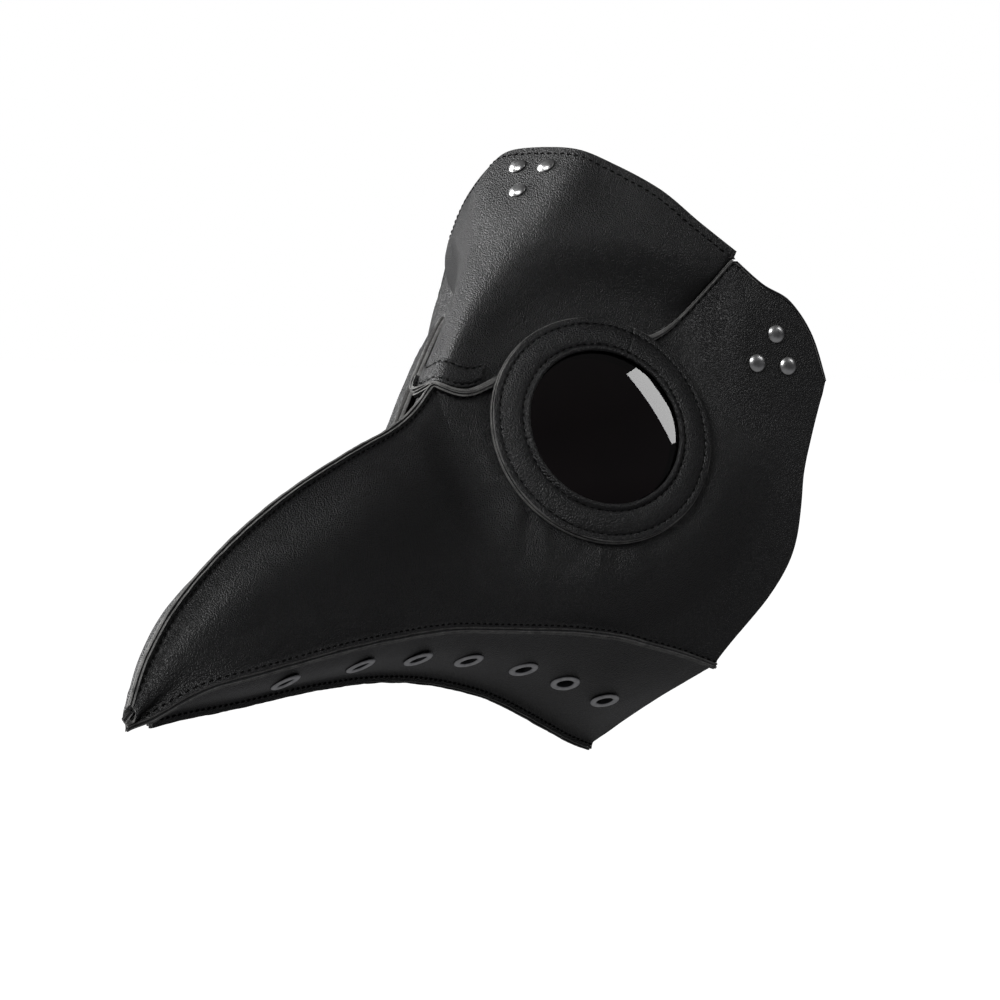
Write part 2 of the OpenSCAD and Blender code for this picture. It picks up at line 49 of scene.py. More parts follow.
# ---------------------------------------------------------------------------
# The panels' lines, in millimetres, as in the part's source. A station is one
# step along every line, from 0 at the beak's tip to 13 at the rear edge.
# ---------------------------------------------------------------------------
SKIN_T, LINING_T, GAP = 1.1, 0.9, 0.05
PANEL_DEPTH = SKIN_T + GAP + LINING_T
SKIN_SEAM_T, LINING_SEAM_T = 0.8, 0.55
SEAM_HALF = SKIN_SEAM_T + LINING_SEAM_T + GAP - 0.03
BEAK_SEAM_H, BROW_SEAM_H, JAW_SEAM_H = 3.2, 2.6, 3.6
BRIDGE_AT, NOTCH_AT, REAR_AT = 7, 11, 13

RIDGE = [(0, -210, -80), (0, -201.7, -67.8), (0, -186.7, -51.5), (0, -161.2, -34.4),
         (0, -129.6, -19.2), (0, -98, -8), (0, -66.5, 2), (0, -44.8, 15)]
BROW = [(0, -44.8, 15), (13.5, -32.5, 11.8), (29, -1, 25), (44, 32.5, 34), (63.5, 50.5, 60.5)]
TEMPLE_EDGE = [(63.5, 50.5, 60.5), (71, 57.5, 51.5), (79, 65, 45.5), (84.5, 71.5, 33.5),
               (88, 76, 16.5)]
JAW = [(0, -211, -87), (2.6, -205, -83), (12, -191, -74.5), (19, -170, -70.5),
       (24.5, -131, -65.8), (27.5, -103.5, -64), (30.5, -80, -63.5), (34.5, -55.5, -65.5),
       (41, -28, -68), (45, -14.5, -70), (49, -1, -72.5), (52.5, 11, -76), (57, 26, -80.5),
       (61.8, 41.8, -86.3)]
KEEL = [(0, -201, -84.5), (0, -183, -83.5), (0, -158, -83), (0, -125, -81.5),
        (0, -92, -81.5), (0, -66, -83.5), (0, -42, -87.5), (0, -20, -93), (0, -5, -98),
        (0, 11, -104.5), (0, 25, -110.5), (0, 38, -116), (0, 53, -121.2)]
TOP_EDGE = [(0, 21.5, 102), (22, 24.5, 98), (41.5, 34, 87.3), (55, 42, 74.5), (65, 51, 64)]
FLANK_HIGH = [(2.4, -210.5, -82), (4.8, -203.5, -71.5), (9, -189.5, -57.5),
              (13.5, -165, -44), (16, -131, -30.5), (17, -100, -22.5), (15.5, -71, -16.5),
              (12.5, -49, -8), (26.6, -31, -12), (40.3, -4, -5), (56.1, 25, 0),
              (67.5, 43, 15), (77, 56, 9), (85.2, 67, -15)]
FLANK_LOW = [(2.2, -211, -84.5), (4.8, -204.5, -77.5), (12, -190.5, -66), (18, -167, -58),
             (23.5, -131.5, -48), (26, -102, -43.5), (27, -76, -40), (26, -52, -36),
             (41, -28, -42), (50.5, -9, -38), (58, 12, -38), (64, 30, -36), (71, 43, -41),
             (81, 63, -50)]
CHIN_MID = [(2.6, -203, -84), (7.5, -186, -79.8), (12, -162, -77.6), (15, -128, -75),
            (17, -98, -74), (19, -72, -75), (21.5, -48, -78), (24.5, -24, -82.5),
            (26.5, -9, -86.5), (28.5, 5, -91.5), (30.5, 18, -96.5), (31.5, 31, -100),
            (31.8, 46.4, -103)]
BROW_LOW = [(0, -26, 47), (15.5, -17, 44), (31, 8.5, 49), (50, 31, 47), (64, 50.7, 61.6)]
BROW_HIGH = [(0, -5.5, 75), (20, 1, 73), (38, 16.5, 69), (54.5, 35.5, 61),
             (64.5, 50.9, 62.8)]
BROW_RISE = [(0, -0.68, 0.73), (0.77, -0.5, 0.4), (0.79, -0.49, 0.36), (0.79, -0.49, 0.36),
             (0.78, -0.55, 0.3)]
TEMPLE_RISE = [(0.78, -0.55, 0.3), (0.6, -0.2, 0.7), (0.35, 0.2, 0.9), (0.5, 0.45, 0.7),
               (0.55, 0.65, 0.4)]
JAW_RISE = [(0.3, -0.75, -0.6), (0.85, -0.1, -0.5), (0.62, -0.38, -0.57)]
EYE_AT, EYE_TURN, EYE_TILT, EYE_FLAT, EYE_BLEND = (39.4, 0, 0), 58, 21, 43.6, 74
TEMPLE_AT, TEMPLE_TURN, TEMPLE_TILT, TEMPLE_FLAT, TEMPLE_BLEND = (76.5, 58.3, 26.6), 57, 4, 12, 34
CROWN_AT, CROWN_TILT, CROWN_FLAT = (0, 9.5, 90.5), 45, 25
TEMPLE_RIVETS = [(1.2, 7.4), (-6.8, -3.1), (5.7, -4.3)]
CROWN_RIVETS = [(-6.5, 0), (6.3, -6.3), (6.3, 6.3)]
EYELET_STATIONS, EYELET_ACROSS = [3.45, 4.6, 5.7, 6.8, 8.05, 9.6, 11.25], 1.15
RIM_R, LENS_R, LENS_T, LENS_SEAT_H, LENS_DOME_R = 28.8, 30.2, 1.6, 1.8, 150
EYELET_HOLE_R = 3.6
FLIP = np.array([-1.0, 1.0, 1.0])
RIDGE, BROW, TEMPLE_EDGE, JAW, KEEL, TOP_EDGE = map(
    np.array, (RIDGE, BROW, TEMPLE_EDGE, JAW, KEEL, TOP_EDGE))
FLANK_HIGH, FLANK_LOW, CHIN_MID, BROW_LOW, BROW_HIGH = map(
    np.array, (FLANK_HIGH, FLANK_LOW, CHIN_MID, BROW_LOW, BROW_HIGH))
BROW_RISE, TEMPLE_RISE, JAW_RISE = map(np.array, (BROW_RISE, TEMPLE_RISE, JAW_RISE))


# ---- Small functions ----
def unit(v):
    return v / np.maximum(np.linalg.norm(v, axis=-1, keepdims=True), 1e-12)


def ramp(x, low, high):
    return np.clip((np.asarray(x, float) - low) / (high - low), 0, 1)


def ease(t):
    return t * t * (3 - 2 * t)


def mix(a, b, t):
    return a * (1 - t) + b * t


def curve(points, t, before=None):
    """A smooth line through the points, at stations t."""
    p = np.asarray(points, float)
    first = 2 * p[0] - p[1] if before is None else np.asarray(before, float)
    q = np.vstack([first, p, 2 * p[-1] - p[-2]])
    t = np.asarray(t, float)
    i = np.clip(np.floor(t).astype(int), 0, len(p) - 2)
    f = (t - i)[..., None]
    a, b, c, d = q[i], q[i + 1], q[i + 2], q[i + 3]
    return 0.5 * (2 * b + (c - a) * f + (2 * a - 5 * b + 4 * c - d) * f ** 2
                  + (3 * b - a - 3 * c + d) * f ** 3)


def facing(turn, tilt):
    a, b = math.radians(turn), math.radians(tilt)
    return np.array([math.sin(a) * math.cos(b), -math.cos(a) * math.cos(b), math.sin(b)])


def brow_line(s):
    return curve(BROW, s, BROW[1] * FLIP)


def brow_rise(s):
    return unit(curve(BROW_RISE, s, BROW_RISE[1] * FLIP))


def brow_side(s):
    s = np.asarray(s, float)
    a = np.where((s - 0.05)[..., None] < 0, brow_line(np.abs(s - 0.05)) * FLIP,
                 brow_line(np.maximum(s - 0.05, 0)))
    return unit(np.cross(brow_rise(s), unit(brow_line(np.minimum(4, s + 0.05)) - a)))


def flatten(p, at, n, flat, blend):
    d = np.linalg.norm(p - at, axis=-1, keepdims=True)
    w = 1 - ease(ramp(d, flat, blend))
    return p - w * ((p - at) @ n)[..., None] * n


EYE_N, TEMPLE_N = facing(EYE_TURN, EYE_TILT), facing(TEMPLE_TURN, TEMPLE_TILT)
CROWN_N = facing(0, CROWN_TILT)
EYE_AT, TEMPLE_AT, CROWN_AT = np.array(EYE_AT, float), np.array(TEMPLE_AT), np.array(CROWN_AT)
RIGHT_EYE_AT, RIGHT_TEMPLE_AT = EYE_AT * FLIP, TEMPLE_AT * FLIP


def seated(p):
    p = flatten(p, EYE_AT, EYE_N, EYE_FLAT, EYE_BLEND)
    p = flatten(p, RIGHT_EYE_AT, EYE_N * FLIP, EYE_FLAT, EYE_BLEND)
    return flatten(p, TEMPLE_AT, TEMPLE_N, TEMPLE_FLAT, TEMPLE_BLEND)


def noise3(p, size, seed):
    """Smooth value noise from -1 to 1 at points p, with features of that size."""
    q = np.asarray(p, float) / size + seed * 17.31
    i = np.floor(q).astype(np.int64)
    f = ease(q - i)
    total = 0
    for dx in (0, 1):
        for dy in (0, 1):
            for dz in (0, 1):
                n = ((i[..., 0] + dx) * 73856093 ^ (i[..., 1] + dy) * 19349663
                     ^ (i[..., 2] + dz) * 83492791)
                h = np.sin(n.astype(float) % 10007 * 12.9898 + seed) * 43758.5453
                h = (h - np.floor(h)) * 2 - 1
                w = (np.where(dx, f[..., 0], 1 - f[..., 0]) * np.where(dy, f[..., 1], 1 - f[..., 1])
                     * np.where(dz, f[..., 2], 1 - f[..., 2]))
                total = total + w * h
    return total


# ---------------------------------------------------------------------------
# Camera, light and backdrop
# ---------------------------------------------------------------------------
scene = bpy.context.scene
scene.view_settings.view_transform = "Standard"


def aim(obj, target):
    direction = Vector(target) - obj.location
    obj.rotation_mode = "QUATERNION"
    obj.rotation_quaternion = direction.to_track_quat("-Z", "Y")


CAMERA_AT, CAMERA_TARGET, CAMERA_LENS = (0.7266, -1.0440, 0.0626), (0.0114, -0.0225, -0.0246), 126
camera = bpy.data.objects.new("camera", bpy.data.cameras.new("camera"))
scene.collection.objects.link(camera)
camera.location = CAMERA_AT
aim(camera, CAMERA_TARGET)
camera.data.lens = CAMERA_LENS
camera.data.sensor_width = 36
camera.data.clip_start, camera.data.clip_end = 0.01, 100
scene.camera = camera


def softbox(name, at, target, width, height, power):
    """A soft light of that size in metres and power in watts, unseen through the lenses."""
    light = bpy.data.lights.new(name, "AREA")
    light.shape = "RECTANGLE"
    light.size, light.size_y = width, height
    light.energy = power
    obj = bpy.data.objects.new(name, light)
    scene.collection.objects.link(obj)
    obj.location = at
    aim(obj, target)
    obj.visible_transmission = False


softbox("light_left", (-1.15, -0.50, 0.45), (0, -0.03, 0.02), 0.7, 1.2, 40)
softbox("light_front", (0.06, -1.20, 0.90), (0, -0.05, -0.02), 0.8, 0.5, 15)
softbox("light_right", (1.22, 0.48, 0.90), (0.03, 0, 0), 0.15, 0.55, 2.4)
softbox("light_back", (-0.35, 1.30, 0.40), (0, 0.05, 0), 0.9, 0.9, 30)

# The camera sees a plain white backdrop. The mask is lit by greys that go from below to above.
SKY_BELOW, SKY_ABOVE, SKY_COOL = 0.26, 0.12, 1.04
SKY = ((0.30, 0.21), (0.42, 0.075), (0.54, 0.04), (0.68, 0.095), (0.80, 0.075))
world = bpy.data.worlds.new("studio")
scene.world = world
world.use_nodes = True
wn, wl = world.node_tree.nodes, world.node_tree.links
wn.clear()
w_out, w_mix = wn.new("ShaderNodeOutputWorld"), wn.new("ShaderNodeMixShader")
w_path = wn.new("ShaderNodeLightPath")
w_seen, w_fill = wn.new("ShaderNodeBackground"), wn.new("ShaderNodeBackground")
w_seen.inputs["Color"].default_value = (1, 1, 1, 1)
w_seen.inputs["Strength"].default_value = 1.0
w_place, w_split = wn.new("ShaderNodeTexCoord"), wn.new("ShaderNodeSeparateXYZ")
w_ramp = wn.new("ShaderNodeValToRGB")
w_tilt = wn.new("ShaderNodeMapRange")
w_tilt.inputs["From Min"].default_value = -1.0
wl.new(w_place.outputs["Generated"], w_split.inputs[0])
wl.new(w_split.outputs["Z"], w_tilt.inputs["Value"])
wl.new(w_tilt.outputs["Result"], w_ramp.inputs["Fac"])
stops = w_ramp.color_ramp.elements
stops[0].position, stops[0].color = 0.0, (SKY_BELOW, SKY_BELOW, SKY_BELOW, 1)
stops[1].position, stops[1].color = 1.0, (SKY_ABOVE, SKY_ABOVE, SKY_ABOVE, 1)
for at, level in SKY:
    stop = stops.new(at)
    stop.color = (level, level, level * SKY_COOL, 1)
wl.new(w_ramp.outputs["Color"], w_fill.inputs["Color"])
wl.new(w_path.outputs["Is Camera Ray"], w_mix.inputs[0])
wl.new(w_fill.outputs[0], w_mix.inputs[1])
wl.new(w_seen.outputs[0], w_mix.inputs[2])
wl.new(w_mix.outputs[0], w_out.inputs["Surface"])


# ---------------------------------------------------------------------------
# Materials
# ---------------------------------------------------------------------------
class Nodes:
    """A material's node tree, built one node at a time."""

    def __init__(self, name):
        self.material = bpy.data.materials.new(name)
        self.material.use_nodes = True
        self.tree = self.material.node_tree
        self.tree.nodes.clear()
        out = self.tree.nodes.new("ShaderNodeOutputMaterial")
        self.shader = self.tree.nodes.new("ShaderNodeBsdfPrincipled")
        self.link(self.shader.outputs["BSDF"], out.inputs["Surface"])
        self.place = self.tree.nodes.new("ShaderNodeTexCoord").outputs["Object"]

    def link(self, a, b):
        self.tree.links.new(a, b)

    def feed(self, socket, value):
        """Links a socket to another node's output, or sets its value."""
        if hasattr(value, "is_linked"):
            self.link(value, socket)
        else:
            socket.default_value = value

    def add(self, kind, **sockets):
        node = self.tree.nodes.new(kind)
        for key, value in sockets.items():
            self.feed(node.inputs[key.replace("_", " ")], value)
        return node

    def noise(self, scale, detail=2.0, rough=0.5):
        return self.add("ShaderNodeTexNoise", Vector=self.place, Scale=scale, Detail=detail,
                        Roughness=rough).outputs["Fac"]

    def range(self, value, low, high, to_low, to_high):
        node = self.tree.nodes.new("ShaderNodeMapRange")
        node.clamp = True
        self.link(value, node.inputs["Value"])
        for key, v in (("From Min", low), ("From Max", high), ("To Min", to_low), ("To Max", to_high)):
            node.inputs[key].default_value = v
        return node.outputs["Result"]

    def math(self, operation, a, b):
        node = self.tree.nodes.new("ShaderNodeMath")
        node.operation = operation
        self.feed(node.inputs[0], a)
        self.feed(node.inputs[1], b)
        return node.outputs[0]

    def ramp(self, value, low, high):
        """A colour from low to high as value goes from 0 to 1."""
        node = self.tree.nodes.new("ShaderNodeMix")
        node.data_type = "RGBA"
        self.link(value, node.inputs["Factor"])
        node.inputs[6].default_value = (*low, 1)
        node.inputs[7].default_value = (*high, 1)
        return node.outputs[2]

    def bump(self, height, distance, strength=1.0, normal=None):
        node = self.add("ShaderNodeBump", Height=height, Distance=distance, Strength=strength)
        if normal is not None:
            self.link(normal, node.inputs["Normal"])
        return node.outputs["Normal"]

    def set(self, **sockets):
        for key, value in sockets.items():
            self.feed(self.shader.inputs[key.replace("_", " ")], value)
        return self.material


def leather(name, rough=0.40, grain=1.0, pebble=1950):
    """Black pebbled leather. pebble is the number of pebbles to a metre."""
    m = Nodes(name)
    cells = m.add("ShaderNodeTexVoronoi", Vector=m.place, Scale=pebble, Randomness=1.0)
    cells.feature = "SMOOTH_F1"
    cells.inputs["Smoothness"].default_value = 0.35
    pebbles = m.range(cells.outputs["Distance"], 0.1, 0.75, 1.0, 0.0)
    fine = m.noise(3800, 2, 0.6)
    soft = m.noise(300, 2, 0.5)
    broad = m.noise(24, 3, 0.5)
    tone = m.range(m.math("ADD", m.math("MULTIPLY", broad, 0.6), m.math("MULTIPLY", pebbles, 0.4)),
                   0.3, 0.85, 0.0, 1.0)
    height = m.math("ADD", m.math("MULTIPLY", pebbles, 1.0), m.math("MULTIPLY", fine, 0.35))
    n1 = m.bump(soft, 0.00012, 0.3 * grain)
    n2 = m.bump(height, 0.00027, 1.0 * grain, n1)
    shine = m.math("ADD", m.math("MULTIPLY", pebbles, -0.5), broad)
    rough_map = m.range(shine, -0.3, 0.8, rough - 0.05, rough + 0.11)
    colour = m.ramp(tone, (0.0035, 0.0035, 0.0038), (0.0085, 0.0085, 0.009))
    return m.set(Base_Color=colour, Roughness=rough_map, Specular_IOR_Level=0.5, Normal=n2)


def cloth(name, dark, light):
    m = Nodes(name)
    weave = m.add("ShaderNodeTexVoronoi", Vector=m.place, Scale=1500)
    lint = m.noise(520, 4, 0.65)
    broad = m.noise(40, 3, 0.5)
    height = m.math("ADD", weave.outputs["Distance"], m.math("MULTIPLY", lint, 0.8))
    shade = m.math("ADD", m.math("MULTIPLY", lint, 0.5), m.math("MULTIPLY", broad, 0.5))
    tone = m.range(shade, 0.3, 0.7, 0.0, 1.0)
    return m.set(Base_Color=m.ramp(tone, dark, light), Roughness=0.92, Specular_IOR_Level=0.2,
                 Sheen_Weight=0.25, Sheen_Roughness=0.4, Normal=m.bump(height, 0.00012, 0.8))


def raw_edge(name):
    """The cut edge of leather: a fibrous core, paler than the face."""
    m = Nodes(name)
    fibres = m.noise(1900, 5, 0.7)
    patches = m.noise(260, 3, 0.6)
    shade = m.math("ADD", m.math("MULTIPLY", fibres, 0.6), m.math("MULTIPLY", patches, 0.4))
    tone = m.range(shade, 0.32, 0.7, 0.0, 1.0)
    return m.set(Base_Color=m.ramp(tone, (0.035, 0.035, 0.035), (0.25, 0.247, 0.24)), Roughness=0.85,
                 Specular_IOR_Level=0.3, Normal=m.bump(fibres, 0.0002, 0.9))


def thread(name):
    m = Nodes(name)
    twist = m.noise(3200, 3, 0.6)
    return m.set(Base_Color=m.ramp(twist, (0.0008, 0.0008, 0.0008), (0.004, 0.004, 0.004)), Roughness=0.85,
                 Specular_IOR_Level=0.08, Normal=m.bump(twist, 0.00008, 0.8))


def metal(name, dark, light, rough, scratch=0.5):
    m = Nodes(name)
    wear = m.noise(420, 4, 0.6)
    fine = m.noise(2400, 2, 0.5)
    return m.set(Base_Color=m.ramp(m.range(wear, 0.3, 0.7, 0, 1), dark, light), Metallic=1.0,
                 Roughness=m.range(wear, 0.3, 0.75, rough, rough + 0.12),
                 Normal=m.bump(fine, 0.00004, scratch))


def plastic(name, colour, rough):
    m = Nodes(name)
    fine = m.noise(900, 3, 0.6)
    dark, light = tuple(c * 0.8 for c in colour), tuple(c * 1.3 for c in colour)
    return m.set(Base_Color=m.ramp(fine, dark, light), Normal=m.bump(fine, 0.00005, 0.4),
                 Roughness=m.range(fine, 0.3, 0.7, rough - 0.05, rough + 0.08))


def smoked(name):
    m = Nodes(name)
    haze = m.noise(60, 2, 0.5)
    tint = m.ramp(m.range(haze, 0.3, 0.7, 0, 1), (0.018, 0.009, 0.010), (0.026, 0.013, 0.014))
    return m.set(Base_Color=tint, Roughness=m.range(m.noise(150, 2), 0.3, 0.7, 0.0, 0.02),
                 Transmission_Weight=1.0, IOR=1.49)


MAT = {
    "leather": leather("leather_black"),
    "ring": leather("leather_ring", rough=0.37, pebble=1650),
    "strap": leather("leather_strap", rough=0.5, grain=0.7, pebble=1900),
    "back": cloth("lining_back", (0.006, 0.006, 0.0065), (0.017, 0.017, 0.018)),
    "lining": cloth("lining_cloth", (0.016, 0.0155, 0.016), (0.036, 0.034, 0.035)),
    "edge": raw_edge("leather_cut_edge"),
    "thread": thread("thread_black"),
    "eyelet": metal("eyelet_metal", (0.30, 0.30, 0.31), (0.50, 0.50, 0.51), 0.34),
    # The barrels' insides take a much darker metal than the eyelets: painted shade for the inside of each
    # hole, which lies in shade.
    "barrel": metal("eyelet_barrel_painted_shade", (0.03, 0.03, 0.032), (0.07, 0.07, 0.072), 0.45),
    "rivet": metal("rivet_steel", (0.42, 0.42, 0.42), (0.62, 0.62, 0.62), 0.27, 0.25),
    "buckle": metal("buckle_steel", (0.36, 0.36, 0.37), (0.55, 0.55, 0.56), 0.22, 0.3),
    "seat": plastic("lens_seat_plastic", (0.014, 0.014, 0.015), 0.5),
    "lens": smoked("lens_smoked"),
}


# ---------------------------------------------------------------------------
# Mesh makers. Points are millimetres in the shared frame.
# ---------------------------------------------------------------------------
# How far the leather round the right eye stands out, and how far the flank swells above its hollow
# and is pressed in along it. The hollow's middle and reach are stations.
FULLER = np.array([-2.0, -6.0, 0.0])
FLANK_SWELL, FLANK_HOLLOW = 1.2, 2.4
HOLLOW_AT, HOLLOW_REACH = 5.4, 1.7


def settled(p):
    """Moves what lies round the right eye out a little: the soft leather isn't alike on both sides."""
    near_eye = 1 - ease(ramp(np.linalg.norm(p - RIGHT_EYE_AT, axis=1), 40, 84))
    w = near_eye * ease(ramp(-p[:, 0], 1.5, 10))
    return p + w[:, None] * FULLER


def arc_length(path):
    """The distance along a path to each of its points."""
    return np.r_[0, np.cumsum(np.linalg.norm(np.diff(path, axis=0), axis=1))]


def along(values, seg, s):
    """The values, a point to each length in seg, at length s."""
    return np.array([np.interp(s, seg, values[:, c]) for c in range(3)])


def make(name, points, faces, materials, slots=None, sharp=45, body="root", slot=None, replaces=()):
    mesh = bpy.data.meshes.new(name)
    points = np.asarray(points, float)
    if body == "root":
        points = settled(points)
    mesh.from_pydata((points * MM).tolist(), [], [tuple(int(i) for i in f) for f in faces])
    for m in materials:
        mesh.materials.append(MAT[m])
    if slots is not None:
        mesh.polygons.foreach_set("material_index", np.asarray(slots, np.int32))
    mesh.validate()
    mesh.shade_smooth()
    if sharp:
        mesh.set_sharp_from_angle(angle=math.radians(sharp))
    mesh.update()
    obj = bpy.data.objects.new(name, mesh)
    scene.collection.objects.link(obj)
    if body:
        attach(obj, body)
    if replaces:
        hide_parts(*replaces)
    return obj


def normals_of(grid):
    """Outward normals of a grid of columns x rows, as in the part's source."""
    du = np.gradient(grid, axis=0)
    dv = np.gradient(grid, axis=1)
    return unit(np.cross(dv, du))


def sheet_parts(grid, near, far, keep=None, round_edge=0.14, normals=None):
    """Points, faces and material numbers of a layer from depth near to depth far under the grid."""
    n, m = grid.shape[:2]
    normal = normals_of(grid) if normals is None else normals
    near, far = (np.broadcast_to(d, (n, m))[..., None] for d in (near, far))
    a = (grid - near * normal).reshape(-1, 3)
    b = (grid - far * normal).reshape(-1, 3)
    if keep is None:
        keep = np.ones((n - 1, m - 1), bool)
    ii, jj = np.nonzero(keep)
    q = np.stack([ii * m + jj, ii * m + jj + 1, (ii + 1) * m + jj + 1, (ii + 1) * m + jj], 1)
    total = n * m
    edges = {}
    for k in range(4):
        for e in zip(q[:, k], q[:, (k + 1) % 4]):
            key = (min(e), max(e))
            edges[key] = None if key in edges else e
    border = [e for e in edges.values() if e is not None]
    middle = (a + b) / 2
    inside = np.zeros((total, 3))
    weight = np.zeros(total)
    centre = (grid[ii, jj] + grid[ii + 1, jj] + grid[ii + 1, jj + 1] + grid[ii, jj + 1]) / 4
    for k in range(4):
        np.add.at(inside, q[:, k], centre)
        np.add.at(weight, q[:, k], 1)
    inside = inside / np.maximum(weight, 1)[:, None]
    rim = sorted({i for e in border for i in e})
    number = {i: 2 * total + k for k, i in enumerate(rim)}
    flat = grid.reshape(-1, 3)
    push = unit(flat[rim] - inside[rim])
    mid = middle[rim] + push * round_edge
    points = np.vstack([a, b, mid])
    faces = [tuple(f) for f in q] + [tuple(f[::-1] + total) for f in q]
    kinds = [0] * len(q) + [1] * len(q)
    for i, j in border:
        faces += [(j, i, number[i], number[j]), (number[j], number[i], i + total, j + total)]
        kinds += [2, 2]
    return points, faces, kinds


def hole_in(grid, keep, centre, axis, radius):
    """Opens a round hole in a grid: cells inside it go, and the cut edge is drawn onto the circle."""
    rel = grid - centre
    along = rel @ axis
    flat = rel - along[..., None] * axis
    r = np.linalg.norm(flat, axis=-1)
    near = np.abs(along) < 12
    inside = (r < radius) & near
    cell = inside[:-1, :-1] | inside[1:, :-1] | inside[1:, 1:] | inside[:-1, 1:]
    keep &= ~cell
    touching = np.zeros(r.shape, bool)
    for di in (0, 1):
        for dj in (0, 1):
            touching[di:di + cell.shape[0], dj:dj + cell.shape[1]] |= cell
    snap = touching & ~inside
    grid[snap] = (centre + along[..., None] * axis + flat / np.maximum(r, 1e-9)[..., None] * radius)[snap]
    return grid, keep


def stitch_parts(path, up, pitch=2.9, length=2.2, thick=0.58, lift=0.16, seed=1):
    """A row of short threads along path. up is the surface normal at each path point."""
    path, up = np.asarray(path, float), np.asarray(up, float)
    seg = arc_length(path)
    count = max(1, int(seg[-1] / pitch))
    rng = np.random.default_rng(seed)
    points, faces = [], []
    sides, rings = 6, 5
    for k in range(count):
        mid = (k + 0.5) * seg[-1] / count
        half = length / 2 * (1 + 0.08 * rng.standard_normal())
        lean = 0.16 + 0.05 * rng.standard_normal()
        base = len(points)
        for ring in range(rings):
            f = ring / (rings - 1) * 2 - 1
            s = np.clip(mid + f * half, 0, seg[-1])
            p = along(path, seg, s)
            n = unit(along(up, seg, s))
            s2 = min(s + 0.3, seg[-1])
            s1 = max(s2 - 0.6, 0)
            d = unit(along(path, seg, s2) - along(path, seg, s1))
            w = unit(np.cross(n, d))
            arch = 1 - f * f
            p = p + n * (lift * (0.25 + arch) - 0.28 * (1 - arch)) + w * lean * f
            r = thick / 2 * (0.45 + 0.55 * math.sqrt(max(arch, 0)))
            for q in range(sides):
                t = 2 * math.pi * q / sides
                points.append(p + r * (math.cos(t) * w * 1.15 + math.sin(t) * n))
        for ring in range(rings - 1):
            for q in range(sides):
                a = base + ring * sides + q
                b = base + ring * sides + (q + 1) % sides
                faces.append((a, b, b + sides, a + sides))
        faces.append(tuple(base + q for q in range(sides))[::-1])
        faces.append(tuple(base + (rings - 1) * sides + q for q in range(sides)))
    return points, faces


def joined(parts):
    """One list of points and faces from several."""
    points, faces = [], []
    for p, f in parts:
        base = len(points)
        points += [tuple(x) for x in np.asarray(p, float)]
        faces += [tuple(i + base for i in face) for face in f]
    return points, faces


def revolve_parts(profile, place, segments=64, close=True, wave=None):
    """A profile of (radius, height) turned about place's Z axis. place is a 4x4 matrix in millimetres."""
    profile = np.asarray(profile, float)
    m = len(profile)
    points, faces = [], []
    for k in range(segments):
        t = 2 * math.pi * k / segments
        for j, (r, z) in enumerate(profile):
            if wave is not None:
                r, z = wave(t, j, r, z)
            points.append((r * math.cos(t), r * math.sin(t), z))
    for k in range(segments):
        nxt = (k + 1) % segments
        for j in range(m if close else m - 1):
            a, b = k * m + j, k * m + (j + 1) % m
            faces.append((a, nxt * m + j, nxt * m + (j + 1) % m, b))
    p = np.c_[np.array(points), np.ones(len(points))] @ np.array(place).T
    return p[:, :3], faces


def rot(axis, degrees):
    return np.array(Matrix.Rotation(math.radians(degrees), 4, axis))


def move(v):
    return np.array(Matrix.Translation(Vector([float(x) for x in v])))


AT_EYE = move(EYE_AT) @ rot("Z", EYE_TURN - 90) @ rot("Y", 90 - EYE_TILT)
AT_TEMPLE = (move(TEMPLE_AT) @ rot("Z", TEMPLE_TURN - 90) @ rot("Y", -TEMPLE_TILT)
             @ rot("Z", 90) @ rot("X", 90))
AT_CROWN = move(CROWN_AT) @ rot("X", 90 - CROWN_TILT) @ rot("Z", 90)


def solid(name, parts, materials, slots=None, flip=False, recalc=True, **kw):
    """An object from points and faces that close on themselves; flip puts it on the wearer's right."""
    points, faces = parts
    points = np.asarray(points, float)
    if flip:
        points = points * FLIP
    obj = make(name, points, faces, materials, slots, **kw)
    if recalc or flip:
        bm = bmesh.new()
        bm.from_mesh(obj.data)
        bmesh.ops.remove_doubles(bm, verts=bm.verts, dist=1e-7)
        bmesh.ops.recalc_face_normals(bm, faces=bm.faces)
        bm.to_mesh(obj.data)
        bm.free()
    return obj


def both(name, parts, materials, slots=None, node=None, **kw):
    """The same piece on the wearer's left and, mirrored, on the right."""
    for side, flip in (("left", False), ("right", True)):
        extra = {"replaces": (f"{node}_{side}",)} if node else {}
        solid(f"{name}_{side}", parts, materials, slots, flip=flip, **extra, **kw)


# ---------------------------------------------------------------------------
# Panels: the same lines as the part's, drawn finely, with folded seams,
# wrinkles and raw edges.
# ---------------------------------------------------------------------------
def across(rows, v):
    """Points at v along smooth lines through the rows, for every column at once."""
    r = np.concatenate([[2 * rows[0] - rows[1]], rows, [2 * rows[-1] - rows[-2]]])
    i = np.clip(np.floor(v).astype(int), 0, len(rows) - 2)
    f = (v - i)[:, None]
    k = np.arange(rows.shape[1])
    a, b, c, d = r[i, k], r[i + 1, k], r[i + 2, k], r[i + 3, k]
    return 0.5 * (2 * b + (c - a) * f + (2 * a - 5 * b + 4 * c - d) * f ** 2
                  + (3 * b - a - 3 * c + d) * f ** 3)


def flange(foot_at, rise, height, first, fold):
    """Columns from a seam flange's tip round the fold to the panel's face."""
    short = np.minimum(fold, 0.45 * height)[:, None]
    tip = foot_at + height[:, None] * rise
    foot = foot_at + short * rise
    lines = [tip, mix(tip, foot, 0.3), mix(tip, foot, 0.65), foot]
    for t in (0.25, 0.5, 0.75):
        lines.append((1 - t) ** 2 * foot + 2 * t * (1 - t) * foot_at + t * t * first)
    return lines


